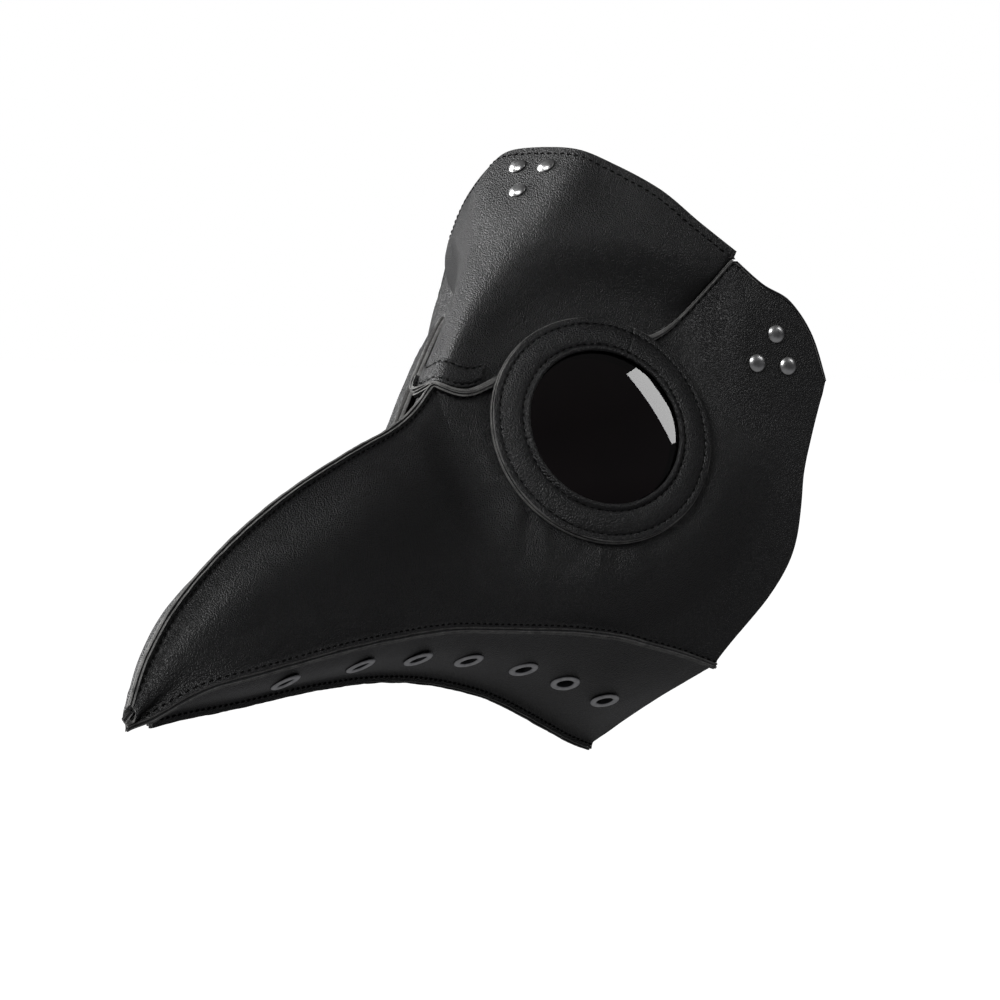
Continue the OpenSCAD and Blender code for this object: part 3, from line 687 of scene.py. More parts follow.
def panel_grid(rows, seat, count, upper=None, lower=None, fold=1.0):
    """A panel's grid, columns x rows. upper and lower are (rise, height) of its flanges."""
    n = rows.shape[1]
    end = np.full(n, len(rows) - 1.0)
    top, low = seat(across(rows, 0 * end)), seat(across(rows, end))
    va = 0.02 * fold / np.linalg.norm(seat(across(rows, 0 * end + 0.02)) - top, axis=1)
    vb = 0.02 * fold / np.linalg.norm(seat(across(rows, end - 0.02)) - low, axis=1)
    va, vb = np.minimum(va, 0.25), np.minimum(vb, 0.25)
    if upper is None:
        va = 0 * va
    if lower is None:
        vb = 0 * vb
    face = [seat(across(rows, va + (end - vb - va) * k / count)) for k in range(count + 1)]
    head = flange(top, *upper, face[0], fold) if upper else []
    tail = flange(low, *lower, face[-1], fold)[::-1] if lower else []
    return np.stack(head + face + tail, 1), len(head), len(tail)


def slim(s):
    """How thin the brow seam is pressed at station s: full at the bridge, less behind the eye."""
    return mix(1.0, 0.5, ramp(s, 2.7, 3.3))


def thickness(grid, head, tail, upper=1.0, lower=1.0):
    """Depths of the outer leather's inner face and the lining's two faces, thinner at the folded seams."""
    n, m = grid.shape[:2]
    k = np.arange(m)
    full = ease(ramp(k, head - 2, head + 3) if head else 0 * k + 1.0)
    full = full * ease(ramp(m - 1 - k, tail - 2, tail + 3) if tail else 0 * k + 1.0)
    above, below = (np.broadcast_to(side, n)[:, None] for side in (upper, lower))
    thin = np.where(k[None, :] < m / 2, above, below)
    skin = mix(SKIN_SEAM_T * thin, SKIN_T, full)
    return skin, skin + GAP, skin + GAP + mix(LINING_SEAM_T * thin, LINING_T, full)


def from_edges(grid, head, tail):
    """How far each point lies from the panel's two long edges, along its column."""
    seg = np.linalg.norm(np.diff(grid, axis=1), axis=2)
    seg[:, :head] = 0
    if tail:
        seg[:, -tail:] = 0
    s = np.concatenate([np.zeros((len(grid), 1)), np.cumsum(seg, 1)], 1)
    return s, s[:, -1:] - s


def off_seats(p):
    """1 away from the flat seats and 0 on them."""
    clear = np.ones(p.shape[:-1])
    for at, near, far in ((EYE_AT, 43, 52), (RIGHT_EYE_AT, 43, 52), (TEMPLE_AT, 13, 22),
                          (RIGHT_TEMPLE_AT, 13, 22), (CROWN_AT, 12, 24)):
        clear *= ease(ramp(np.linalg.norm(p - at, axis=-1), near, far))
    return clear


def puckers(p):
    """Short folds in the leather that run out from under the ring, strongest below and in front of it."""
    rel = p - EYE_AT
    flat = rel - (rel @ EYE_N)[..., None] * EYE_N
    down = np.array(AT_EYE[:3, 0])
    side = np.array(AT_EYE[:3, 1])
    r = np.linalg.norm(flat, axis=-1)
    a = np.arctan2(flat @ side, flat @ down)
    low_front = np.exp(-((a + 0.75) / 0.85) ** 2) + 0.25
    fold = np.cos(17 * a + 2.2 * noise3(np.stack([a * 3, r * 0.05, 0 * a], -1), 1, 3)) ** 3
    return -0.75 * low_front * fold * ease(ramp(r, 43.2, 46)) * np.exp(-np.maximum(r - 45, 0) / 8)


def relief(grid, head, tail, amount=1.0, extra=None):
    """Moves the face of a panel in and out by soft unevenness, wrinkles and seam puckers."""
    up, down = from_edges(grid, head, tail)
    middle = ease(ramp(up, 1.5, 12)) * ease(ramp(down, 1.5, 12))
    beside = ((up > 0) * (down > 0)) * (np.exp(-((up - 3.4) / 2.2) ** 2) * ramp(up, 0.2, 1.6)
                                      + np.exp(-((down - 3.4) / 2.2) ** 2) * ramp(down, 0.2, 1.6))
    p = grid
    move = middle * (0.75 * noise3(p, 34, 1) + 0.34 * noise3(p, 15, 2) + 0.11 * noise3(p, 6.5, 3))
    move += beside * (0.20 * noise3(p, 4.2, 4) + 0.12 * noise3(p, 2.4, 5))
    move = amount * move * off_seats(p)
    if extra is not None:
        move += extra(p) * ease(ramp(up, 0.8, 5)) * ease(ramp(down, 0.8, 5))
    return grid + move[..., None] * normals_of(grid)


def corner_stations():
    """Stations on the brow and on the ridge at which their seam edges meet beside the bridge."""
    s = np.linspace(0, 0.6, 601)
    edge = brow_line(s) - SEAM_HALF * brow_side(s)
    s0 = float(np.interp(SEAM_HALF, edge[:, 0], s))
    at = brow_line(np.array([s0])) - SEAM_HALF * brow_side(np.array([s0]))
    u = np.linspace(6, 7, 1001)
    d = np.linalg.norm(curve(RIDGE, u) + [SEAM_HALF, 0, 0] - at, axis=1)
    return s0, float(u[np.argmin(d)])


CORNER_S, CORNER_U = corner_stations()


def under_ring(p, height):
    """A flange's height: full up to the eye ring's edge, next to nothing under it."""
    r = np.minimum(np.linalg.norm(p - EYE_AT, axis=-1), np.linalg.norm(p - RIGHT_EYE_AT, axis=-1))
    return mix(0.06, height, ease(ramp(r, 40.4, 41.6)))


def side_edge(u):
    """The side panel's upper edge, its flange's direction and height, at stations u."""
    r = np.where(u <= 6, u, 6 + (np.minimum(u, 7) - 6) * (CORNER_U - 6))
    s = np.clip(np.where(u >= 8, u - 7, CORNER_S + (np.maximum(u, 7) - 7) * (1 - CORNER_S)), 0, 4)
    t = 2 * np.clip(u - NOTCH_AT, 0, 2)
    on_ridge = curve(RIDGE, r) + [SEAM_HALF, 0, 0]
    on_brow = brow_line(s) - (SEAM_HALF * slim(s))[:, None] * brow_side(s)
    fade = (SEAM_HALF * slim(4) * (1 - ramp(u, NOTCH_AT, NOTCH_AT + 0.7)))[:, None]
    on_temple = curve(TEMPLE_EDGE, t) - fade * brow_side(np.full(u.shape, 4.0))
    p = np.where((u <= NOTCH_AT)[:, None], on_brow, on_temple)
    p = np.where((u <= BRIDGE_AT)[:, None], on_ridge, p)
    d = unit(curve(RIDGE, np.minimum(7, r + 0.05)) - curve(RIDGE, np.maximum(0, r - 0.05)))
    turn = ease(ramp(u, 6.8, 7.2))
    rise = mix(np.stack([0 * r, -d[:, 2], d[:, 1]], 1), brow_rise(s), turn[:, None])
    rise = np.where((u > NOTCH_AT)[:, None], curve(TEMPLE_RISE, t), rise)
    height = mix(mix(BEAK_SEAM_H, BROW_SEAM_H * slim(s), turn), 0.5, ramp(u, NOTCH_AT, NOTCH_AT + 0.7))
    return p, unit(rise), height


def jaw_parts(u):
    front = mix(JAW_RISE[0], JAW_RISE[1], ease(np.minimum(u, 2) / 2)[:, None])
    rear = mix(JAW_RISE[1], JAW_RISE[2], ramp(u, 2, REAR_AT)[:, None])
    rise = unit(np.where((u < 2)[:, None], front, rear))
    d = unit(curve(JAW, np.minimum(REAR_AT, u + 0.05)) - curve(JAW, np.maximum(0, u - 0.05)))
    return curve(JAW, u), rise, unit(np.cross(rise, d)), mix(JAW_SEAM_H, 2, ramp(u, 6, REAR_AT))


def uneven(height, p, seed, amount=0.05):
    """A cut edge is never quite straight."""
    return height * (1 + amount * noise3(p, 5, seed) + 0.5 * amount * noise3(p, 1.7, seed + 1))


def spaced(stations, spacing, line):
    """Stations between the given ones, at even steps along a line."""
    fine = np.linspace(stations[0], stations[1], 2001)
    d = arc_length(line(fine))
    return np.interp(np.linspace(0, d[-1], int(d[-1] / spacing) + 1), d, fine)


# The panels' grids: steps in mm along them, and rows across each panel's face.
FINE_STEP, CHIN_STEP = 1.15, 1.3
SIDE_ROWS, CHIN_ROWS, FOREHEAD_ROWS = 66, 34, 70
# Places on either side of a point, as shares of the reach, and how much each of them counts.
EASING = ((-1, 0.15), (-0.5, 0.2), (0, 0.3), (0.5, 0.2), (1, 0.15))


def softened(line, u):
    """A line with its bends eased over up to 0.8 of a station to each side."""
    last = len(line) - 1
    reach = np.minimum(0.8, np.minimum(u, last - u))
    return sum(w * curve(line, u + d * reach) for d, w in EASING)


def side_grid(seed, lower_by=0.0):
    u = spaced((0, REAR_AT), FINE_STEP, lambda s: (side_edge(s)[0] + curve(JAW, s)) / 2)
    edge, rise, height = side_edge(u)
    jaw, jaw_up, jaw_out, jaw_h = jaw_parts(u)
    hollow = np.exp(-((u - HOLLOW_AT) / HOLLOW_REACH) ** 2)[:, None] * [1.0, 0, 0.3]
    high = softened(FLANK_HIGH, u) + FLANK_SWELL * hollow
    low = softened(FLANK_LOW, u) - FLANK_HOLLOW * hollow
    rows = np.stack([edge, high, low, jaw + SEAM_HALF * jaw_out])
    top = seated(edge)
    tip = 0.35 + 0.65 * ramp(u, 0, 1.1)
    upper = (rise, under_ring(top, uneven(height * tip - lower_by, top, seed)))
    lower = (jaw_up, uneven(jaw_h * tip - lower_by, jaw, seed + 2))
    return u, *panel_grid(rows, seated, SIDE_ROWS, upper, lower)


def chin_rows(u):
    """The chin panel's three lines: under the jaw seam, along the middle and beside the keel."""
    jaw, _, jaw_out, _ = jaw_parts(u)
    keel = curve(KEEL, u - 1) + [SEAM_HALF, 0, 0]
    return np.stack([jaw - SEAM_HALF * jaw_out, curve(CHIN_MID, u - 1), keel])


def chin_grid(seed, lower_by=0.0):
    u = spaced((1, REAR_AT), CHIN_STEP, lambda s: curve(JAW, s))
    jaw, jaw_up, _, jaw_h = jaw_parts(u)
    keel = curve(KEEL, u - 1)
    d = unit(curve(KEEL, np.minimum(12, u - 0.95)) - curve(KEEL, np.maximum(0, u - 1.05)))
    upper = (jaw_up, uneven(jaw_h - lower_by, jaw, seed))
    keel_up = np.stack([0 * u, d[:, 2], -d[:, 1]], 1)
    lower = (keel_up, uneven(0 * u + BEAK_SEAM_H - lower_by, keel, seed + 2))
    return u, *panel_grid(chin_rows(u), lambda p: p, CHIN_ROWS, upper, lower)


def forehead_rows(t):
    """The forehead's four lines on the wearer's left, from the top edge down to the brow seam."""
    lines = [curve(line, t, line[1] * FLIP) for line in (TOP_EDGE, BROW_HIGH, BROW_LOW)]
    return np.stack([*lines, brow_line(t) + (SEAM_HALF * slim(t))[:, None] * brow_side(t)])


def forehead_grid(seed, lower_by=0.0):
    t = spaced((0, 4), FINE_STEP, lambda s: (curve(TOP_EDGE, s) + brow_line(s)) / 2)
    rows = forehead_rows(t)
    full = np.concatenate([rows[:, :0:-1] * FLIP, rows], 1)
    s = np.r_[-t[:0:-1], t]
    reach = np.minimum(0.6, 4 - np.abs(s))
    for row in (1, 2):
        full[row] = sum(w * np.stack([np.interp(s + d * reach, s, full[row][:, k]) for k in range(3)], 1)
                        for d, w in EASING)
    rise = np.concatenate([(brow_rise(t) * FLIP)[:0:-1], brow_rise(t)])
    edge = seated(full[3])
    lower = (rise, under_ring(edge, uneven(BROW_SEAM_H * slim(np.abs(s)) - lower_by, edge, seed)))
    return s, *panel_grid(full, seated_both, FOREHEAD_ROWS, None, lower)


def seated_both(p):
    """The forehead's flat places: both eye rings, both temples and the crown."""
    p = seated(p)
    p = flatten(p, RIGHT_TEMPLE_AT, TEMPLE_N * FLIP, TEMPLE_FLAT, TEMPLE_BLEND)
    rel = p - CROWN_AT
    w = np.exp(-((rel * rel).sum(-1, keepdims=True) / CROWN_FLAT ** 2) ** 2.5)
    return p - w * (rel @ CROWN_N)[..., None] * CROWN_N


def eye_hole(grid, keep):
    return hole_in(grid, keep, EYE_AT, EYE_N, LENS_R + 1)


def both_eye_holes(grid, keep):
    return hole_in(*eye_hole(grid, keep), RIGHT_EYE_AT, EYE_N * FLIP, LENS_R + 1)


def crease(p):
    """A soft fold in the forehead, up from the bridge towards the wearer's right."""
    a, b = np.array([-8.0, -33, 26]), np.array([-27.0, -16, 62])
    d = b - a
    t = np.clip(((p - a) @ d) / (d @ d), 0, 1)
    away = np.linalg.norm(p - a - t[..., None] * d, axis=-1)
    return 0.9 * np.exp(-(away / 3.0) ** 2) * np.sin(math.pi * np.clip(t, 0.05, 0.95)) - 0.6 * np.exp(
        -((away - 5) / 3.0) ** 2) * np.sin(math.pi * t)


def chin_at(u, v):
    """A point of the chin panel at station u and row v."""
    return across(chin_rows(np.array([float(u)])), np.array([float(v)]))[0]


def eyelet_frames():
    frames = []
    for u in EYELET_STATIONS:
        at = chin_at(u, EYELET_ACROSS)
        n = unit(np.cross(chin_at(u, EYELET_ACROSS + 0.05) - at, chin_at(u + 0.05, EYELET_ACROSS) - at))
        x = unit(np.cross([0.0, 0, 1], n))
        m = np.eye(4)
        m[:3, 0], m[:3, 1], m[:3, 2], m[:3, 3] = x, np.cross(n, x), n, at
        frames.append(m)
    return frames


EYELETS = eyelet_frames()


def eyelet_holes(grid, keep):
    for m in EYELETS:
        grid, keep = hole_in(grid, keep, m[:3, 3], m[:3, 2], EYELET_HOLE_R)
    return grid, keep


def whole(grid):
    return np.ones((grid.shape[0] - 1, grid.shape[1] - 1), bool)


def runs(path, up, wanted):
    """Splits a line into its stretches where wanted is true."""
    index = np.nonzero(wanted)[0]
    groups = np.split(index, np.nonzero(np.diff(index) > 1)[0] + 1)
    return [(path[g], up[g]) for g in groups if len(g) > 3]


def seam_stitches(name, grid, row, wanted, seed, place=both):
    """Stitches along a row of the grid, on both sides or, with place=solid, once."""
    parts = [stitch_parts(p, n, seed=seed) for p, n in runs(grid[:, row], normals_of(grid)[:, row], wanted)]
    place(name, joined(parts), ["thread"], sharp=0)


LINING_SEED = 20


def panel(name, node, grid_of, seed, lower_by, opened, place=both, pressed=None, **uneven_by):
    """A panel's leather and the lining under it, whose seam edges stand lower_by higher.

    Returns the stations along the panel and the grid of the leather's face.
    """
    stations, face, head, tail = grid_of(seed, lower_by)
    face = relief(face, head, tail, **uneven_by)
    skin, near, far = thickness(face, head, tail, *(pressed(stations) if pressed else ()))
    lined = grid_of(seed + LINING_SEED)[1]
    lined[:, head:-tail] = face[:, head:-tail]
    for grid, layer, slot, depths, looks, replaced in (
            (face, "leather", "black_leather", (0, skin), ["leather", "back", "edge"], "panel"),
            (lined, "backing", "lining_cloth", (near, far), ["back", "lining", "edge"], "lining")):
        holed, keep = opened(grid.copy(), whole(grid))
        points, faces, kinds = sheet_parts(holed, *depths, keep, normals=normals_of(grid))
        of = {"node": f"{node}_{replaced}"} if place is both else {"replaces": (f"{node}_{replaced}",)}
        place(f"{name}_{layer}", (points, faces), looks, kinds, recalc=False, slot=slot, **of)
    return stations, face


def from_eye(p, centre=None):
    """How far each point lies from the middle of the left eye, or from the given one."""
    return np.linalg.norm(p - (EYE_AT if centre is None else centre), axis=1)


# The row at the foot of a seam's upright part, where its stitches run, counted from either edge.
STITCH_ROW = 3

# ---- Side panels ----
u_side, side = panel("side", "side", side_grid, 11, 0.75, eye_hole, extra=puckers,
                     pressed=lambda u: [slim(u - BRIDGE_AT)])
edge_r = from_eye(seated(side_edge(u_side)[0]))
seam_stitches("upper_stitches", side, STITCH_ROW, (u_side > 0.25) & (u_side < 11.2) & (edge_r > 43.6), 3)
seam_stitches("jaw_stitches", side, -STITCH_ROW - 1, u_side > 0.5, 5)

# ---- Chin panels ----
u_chin, chin = panel("chin", "chin", chin_grid, 51, 0.6, eyelet_holes, amount=0.55)
seam_stitches("chin_stitches", chin, STITCH_ROW, u_chin > 1.1, 7)
seam_stitches("keel_stitches", chin, -STITCH_ROW - 1, u_chin > 1.1, 9)

# ---- Forehead ----
s_brow, brow = panel("forehead", "forehead", forehead_grid, 91, 0.6, both_eye_holes, solid, extra=crease,
                     pressed=lambda s: [1.0, slim(np.abs(s))])
brow_r = np.minimum(from_eye(brow[:, -1]), from_eye(brow[:, -1], RIGHT_EYE_AT))
seam_stitches("brow_stitches", brow, -STITCH_ROW - 1, brow_r > 43.8, 11, solid)


def inset(grid, distance):
    """The line that lies this far from the grid's first row, with the surface normals there."""
    s = np.concatenate([np.zeros((len(grid), 1)),
                        np.cumsum(np.linalg.norm(np.diff(grid, axis=1), axis=2), 1)], 1)
    normal = normals_of(grid)
    out, up = [], []
    for i in range(len(grid)):
        out.append(along(grid[i], s[i], distance))
        up.append(along(normal[i], s[i], distance))
    return np.array(out), np.array(up)


path, up = inset(brow, 3.5)
hem = [stitch_parts(a, b, seed=13) for a, b in runs(path, up, np.abs(s_brow) < 3.75)]
solid("hem_stitches", joined(hem), ["thread"], sharp=0)

# ---- Bridge band ----
s_band = np.linspace(-1.1, 1.1, 111)
t_band = np.abs(s_band)
mirror = np.where((s_band < 0)[:, None], FLIP, 1.0)
band_rows = forehead_rows(t_band)
v_band = np.linspace(0, 1, 23)
BAND_TOP, BAND_DOWN = 2.715, 0.255
band = np.stack([seated(across(band_rows, 0 * t_band + BAND_TOP + BAND_DOWN * v)) * mirror
                 for v in v_band], 1)
puff = 0.25 + SKIN_T + 0.8 * np.sin(math.pi * v_band) ** 0.6
for groove_at in (0.15, 0.85):
    puff = puff - 0.5 * np.exp(-((v_band - groove_at) / 0.045) ** 2)
band_top = band + (puff[None, :] + 0.12 * noise3(band, 3.5, 21))[..., None] * normals_of(band)
p, f, k = sheet_parts(band_top, 0, SKIN_T)
solid("bridge_band_leather", (p, f), ["leather", "back", "edge"], k, slot="black_leather",
      replaces=("bridge_band",))
band_normal = normals_of(band_top)
band_threads = [stitch_parts(band_top[1:-1, j], band_normal[1:-1, j], pitch=2.6, length=1.9, seed=15 + j)
                for j in (3, 19)]
solid("band_stitches", joined(band_threads), ["thread"], sharp=0)

# ---------------------------------------------------------------------------
# Eye rings, lenses and their seats
# ---------------------------------------------------------------------------
BUTT_AT = math.radians(154)
OUTER_N, INNER_N = 86, 68


def ring_wave(t, j, r, z):
    """Stitches pull the pad down between them, and the two ends of its strip meet in a thin butt joint."""
    pull = 0.13 * (0.5 + 0.5 * math.cos(OUTER_N * t)) * math.exp(-((r - 39.7) / 0.6) ** 2)
    pull += 0.13 * (0.5 + 0.5 * math.cos(INNER_N * t)) * math.exp(-((r - 31.4) / 0.5) ** 2)
    gather = 0.05 * math.cos(OUTER_N * t + math.pi) * math.exp(-((r - 38.7) / 0.7) ** 2)
    gather += 0.07 * math.sin(11 * t + 3 * math.sin(3 * t)) * math.exp(-((r - 35) / 2) ** 2)
    gather += 0.05 * math.sin(19 * t + 2 * math.sin(5 * t)) * math.exp(-((r - 30.2) / 1.0) ** 2)
    away = abs((t - BUTT_AT + math.pi) % (2 * math.pi) - math.pi) * r
    joint = 0.55 * math.exp(-(away / 0.42) ** 2)
    if z < 2.9 or r < 28.9:
        return r + 0.10 * math.sin(9 * t + z) * (r > 41), z
    return r + 0.05 * math.sin(9 * t), z - pull + gather - joint


pad_profile = [(31.2, 1.75), (41.9, 1.75), (42.1, 2.0), (42.1, 2.7), (41.95, 2.98), (41.5, 3.1), (40.8, 3.18),
               (40.2, 3.2), (39.95, 3.12), (39.7, 2.98), (39.4, 3.2), (38.9, 3.52), (38.1, 3.9), (37.1, 4.28),
               (36.0, 4.58), (34.9, 4.75), (33.9, 4.82), (33.0, 4.8), (32.3, 4.7), (31.75, 4.5), (31.4, 4.3),
               (31.1, 4.5), (30.8, 4.9), (30.4, 5.3), (29.95, 5.5), (29.45, 5.5), (29.05, 5.25), (28.8, 4.85),
               (28.8, 4.4), (28.95, 3.95), (29.3, 3.72), (31.2, 3.72)]
p, f = revolve_parts(pad_profile, AT_EYE, OUTER_N * 8, wave=ring_wave)
pad_slots = [2 if 1 <= i % len(pad_profile) <= 3 else 0 for i in range(len(f))]
for side_name, flip in (("left", False), ("right", True)):
    pad = solid(f"eye_ring_padding_{side_name}", (p, f), ["ring", "back", "edge"], pad_slots, flip=flip,
                sharp=60, slot="black_leather", replaces=(f"eye_ring_pad_{side_name}",))
base_profile = [(31.25, 0.2), (42.2, 0.2), (42.5, 0.5), (42.5, 1.35), (42.25, 1.68), (31.25, 1.68)]
p, f = revolve_parts(base_profile, AT_EYE, 240)
both("eye_ring_backing", (p, f), ["ring", "edge"], [1 if 1 <= i % 6 <= 3 else 0 for i in range(len(f))],
     node="eye_ring_base", slot="black_leather")


def ring_threads(radius, z, count, seed):
    """A circle of stitches on the eye ring."""
    t = np.linspace(0, 2 * math.pi, 401)
    local = np.stack([radius * np.cos(t), radius * np.sin(t), 0 * t + z, 0 * t + 1], 1)
    path, up = (local @ AT_EYE.T)[:, :3], np.repeat(AT_EYE[None, :3, 2], len(t), 0)
    pitch = 2 * math.pi * radius / count - 1e-6
    return stitch_parts(path, up, pitch=pitch, length=2.0, thick=0.45, seed=seed)


both("ring_stitches", joined([ring_threads(39.7, 2.92, OUTER_N, 21), ring_threads(31.4, 4.24, INNER_N, 23)]),
     ["thread"], sharp=0)

dome_z = LENS_SEAT_H + LENS_DOME_R - math.sqrt(LENS_DOME_R ** 2 - LENS_R ** 2) - LENS_DOME_R


def dome(radius, r):
    return dome_z + math.sqrt(radius ** 2 - r ** 2)


lens_rs = np.linspace(0, LENS_R, 24)
lens_profile = [(r, dome(LENS_DOME_R, r)) for r in lens_rs] + [
    (r, dome(LENS_DOME_R + LENS_T, r)) for r in lens_rs[::-1]]
both("lens_glass", revolve_parts(lens_profile, AT_EYE, 128), ["lens"], node="lens", slot="smoked_lens")
flange_top = -PANEL_DEPTH - 0.1
seat_profile = [(RIM_R - 0.6, flange_top - 1.2), (RIM_R - 0.4, flange_top - 1.4),
                (LENS_R + 3.8, flange_top - 1.4),
                (LENS_R + 4, flange_top - 1.2), (LENS_R + 4, flange_top), (LENS_R + 0.8, flange_top),
                (LENS_R + 0.8, LENS_SEAT_H), (RIM_R - 0.6, LENS_SEAT_H)]
both("lens_seating", revolve_parts(seat_profile, AT_EYE, 128), ["seat"], node="lens_seat",
     slot="black_plastic")

# ---------------------------------------------------------------------------
# Metal pieces
# ---------------------------------------------------------------------------
eyelet_profile = [(3.0, -3.2), (3.25, -3.35), (3.5, -3.2), (3.5, 0.12), (4.2, 0.08), (5.2, 0.1), (5.42, 0.28),
                  (5.38, 0.5), (5.05, 0.78), (4.6, 0.97), (4.15, 1.02), (3.7, 0.94), (3.3, 0.72), (3.05, 0.4)]


def split_end(t, j, r, z):
    """The barrel's set end splits into six short leaves."""
    if z < -3:
        notch = abs(math.sin(3 * t)) ** 0.35
        return r + 0.35 * notch * (j > 0), z + 0.45 * (1 - notch)
    return r, z


p, f = joined([revolve_parts(eyelet_profile, m, 48, wave=split_end) for m in EYELETS])
inside = len(eyelet_profile) - 1
# The barrel's inside wall and split end take the darker barrel metal: painted shade inside the eyelet holes.
eyelet_shaded_slots = [1 if i % len(eyelet_profile) in (0, 1, inside) else 0 for i in range(len(f))]
both("eyelet_rings", (p, f), ["eyelet", "barrel"], eyelet_shaded_slots, node="eyelets", slot="eyelet_metal",
     sharp=60)
washer_top = -PANEL_DEPTH - 0.5
washer_profile = [(3.6, washer_top - 0.5), (4.6, washer_top - 0.5), (4.8, washer_top - 0.35),
                  (4.8, washer_top), (3.6, washer_top)]
both("eyelet_backs", joined([revolve_parts(washer_profile, m, 40) for m in EYELETS]), ["eyelet"],
     node="eyelet_washers", slot="eyelet_metal")

TAB_Z, STRAP_T, STRAP_W = -PANEL_DEPTH - 0.1, 2.0, 22.0
cap_profile = [(0, 0.1), (2.9, 0.1), (3.2, 0.2), (3.3, 0.42)] + [
    (r, 0.45 + 1.15 * (1 - (r / 3.3) ** 3.4)) for r in (3.26, 3.15, 3.0, 2.8, 2.5, 2.1, 1.6, 1.1, 0.6, 0.0)]
head_z = TAB_Z - STRAP_T - 1.0
post_profile = [(0, head_z), (2.9, head_z), (3.2, head_z + 0.25), (3.2, head_z + 0.8), (3.0, head_z + 0.9),
                (1.3, head_z + 0.92), (1.3, 0.9), (0, 0.9)]


def rivets(places, base, profile):
    return joined([revolve_parts(profile, base @ move((x, y, 0)), 48) for x, y in places])


both("temple_rivet_caps", rivets(TEMPLE_RIVETS, AT_TEMPLE, cap_profile), ["rivet"], node="rivet_caps",
     slot="rivet_steel")
both("temple_rivet_posts", rivets(TEMPLE_RIVETS, AT_TEMPLE, post_profile), ["rivet"], node="rivet_posts",
     slot="rivet_steel")
solid("crown_rivet_caps", rivets(CROWN_RIVETS, AT_CROWN, cap_profile), ["rivet"], slot="rivet_steel",
      replaces=("rivet_caps_top",))
solid("crown_rivet_posts", rivets(CROWN_RIVETS, AT_CROWN, post_profile), ["rivet"], slot="rivet_steel",
      replaces=("rivet_posts_top",))

# ---------------------------------------------------------------------------
# Straps, keeper and buckle
# ---------------------------------------------------------------------------
FOLD_X, FOLD_Z = 11.0, TAB_Z - STRAP_T - 0.95
RUN_Z = FOLD_Z - 0.9
TAIL_FOLD_Z = RUN_Z - STRAP_T - 0.3
TAIL_Z = TAIL_FOLD_Z - 0.3
LEFT_RUN, RIGHT_RUN, TOP_RUN = 45.0, 31.0, 50.0
BAR_X, BAR_Z = FOLD_X - RIGHT_RUN, RUN_Z - STRAP_T / 2
AT_STRAP = AT_TEMPLE @ rot("Z", 20)


def leaned(base, degrees):
    return base @ move((FOLD_X, 0, FOLD_Z)) @ rot("Y", -degrees) @ move((-FOLD_X, 0, -FOLD_Z))


SIDE_LEAN, TOP_LEAN = 17, 12
AT_SIDE_RUN, AT_TOP_RUN = leaned(AT_STRAP, SIDE_LEAN), leaned(AT_CROWN, TOP_LEAN)


def placed(points, base):
    p = np.asarray(points, float).reshape(-1, 3)
    return (np.c_[p, np.ones(len(p))] @ np.array(base).T)[:, :3]


def strap_piece(base, x0, x1, top_z, holes=(), window=None, round_end=0.0, seed=1, lines=True):
    """A flat length of strap with holes or a window cut in it, and its edge stitching."""
    half = STRAP_W / 2
    xs = np.linspace(x0, x1, int((x1 - x0) / 0.7) + 2)
    ys = np.linspace(half, -half, 33)
    if window:
        xs = np.unique(np.r_[xs, window[0], window[1]])
        ys = np.unique(np.r_[ys, window[2], window[3]])[::-1]
    wide = np.ones(len(xs))
    if round_end:
        past = np.maximum(xs - (x1 - round_end), 0) / (round_end + 0.02)
        wide = np.sqrt(np.clip(1 - past ** 2, 0.0004, 1))
    grid = np.zeros((len(xs), len(ys), 3))
    grid[..., 0] = xs[:, None]
    grid[..., 1] = ys[None, :] * wide[:, None]
    rim = ease(ramp(half - np.abs(ys), 0, 1.0))
    grid[..., 2] = top_z - 0.12 * (1 - rim)[None, :] + 0.05 * noise3(grid, 9, seed)
    keep = whole(grid)
    for x, y, r in holes:
        grid, keep = hole_in(grid, keep, np.array([x, y, top_z]), np.array([0.0, 0, 1]), r)
    if window:
        cx, cy = (xs[:-1] + xs[1:]) / 2, (ys[:-1] + ys[1:]) / 2
        in_x, in_y = (cx > window[0]) & (cx < window[1]), (cy > window[2]) & (cy < window[3])
        keep &= ~(in_x[:, None] & in_y[None, :])
    up = np.zeros(grid.shape)
    up[..., 2] = 1
    points, faces, kinds = sheet_parts(grid, 0, STRAP_T, keep, normals=up)
    threads = []
    if lines:
        stop = x1 - max(2, round_end)
        for y in (half - 2.2, 2.2 - half):
            line = np.array([[x, y, top_z + 0.02] for x in np.linspace(x0 + 2, stop, 30)])
            threads.append(stitch_parts(line, np.array([[0, 0, 1.0]] * 30), seed=seed))
    p, f = joined(threads) if threads else ([], [])
    return (placed(points, base), faces, kinds), (placed(p, base) if threads else [], f)


def strap(name, base, x0, x1, top_z, body, nodes=(), flip=False, **kw):
    (p, f, k), (tp, tf) = strap_piece(base, x0, x1, top_z, **kw)
    solid(name, (p, f), ["strap", "back", "edge"], k, flip=flip, body=body, slot="strap_leather",
          replaces=nodes)
    if len(tp):
        solid(f"{name}_stitches", (tp, tf), ["thread"], flip=flip, body=body, sharp=0)


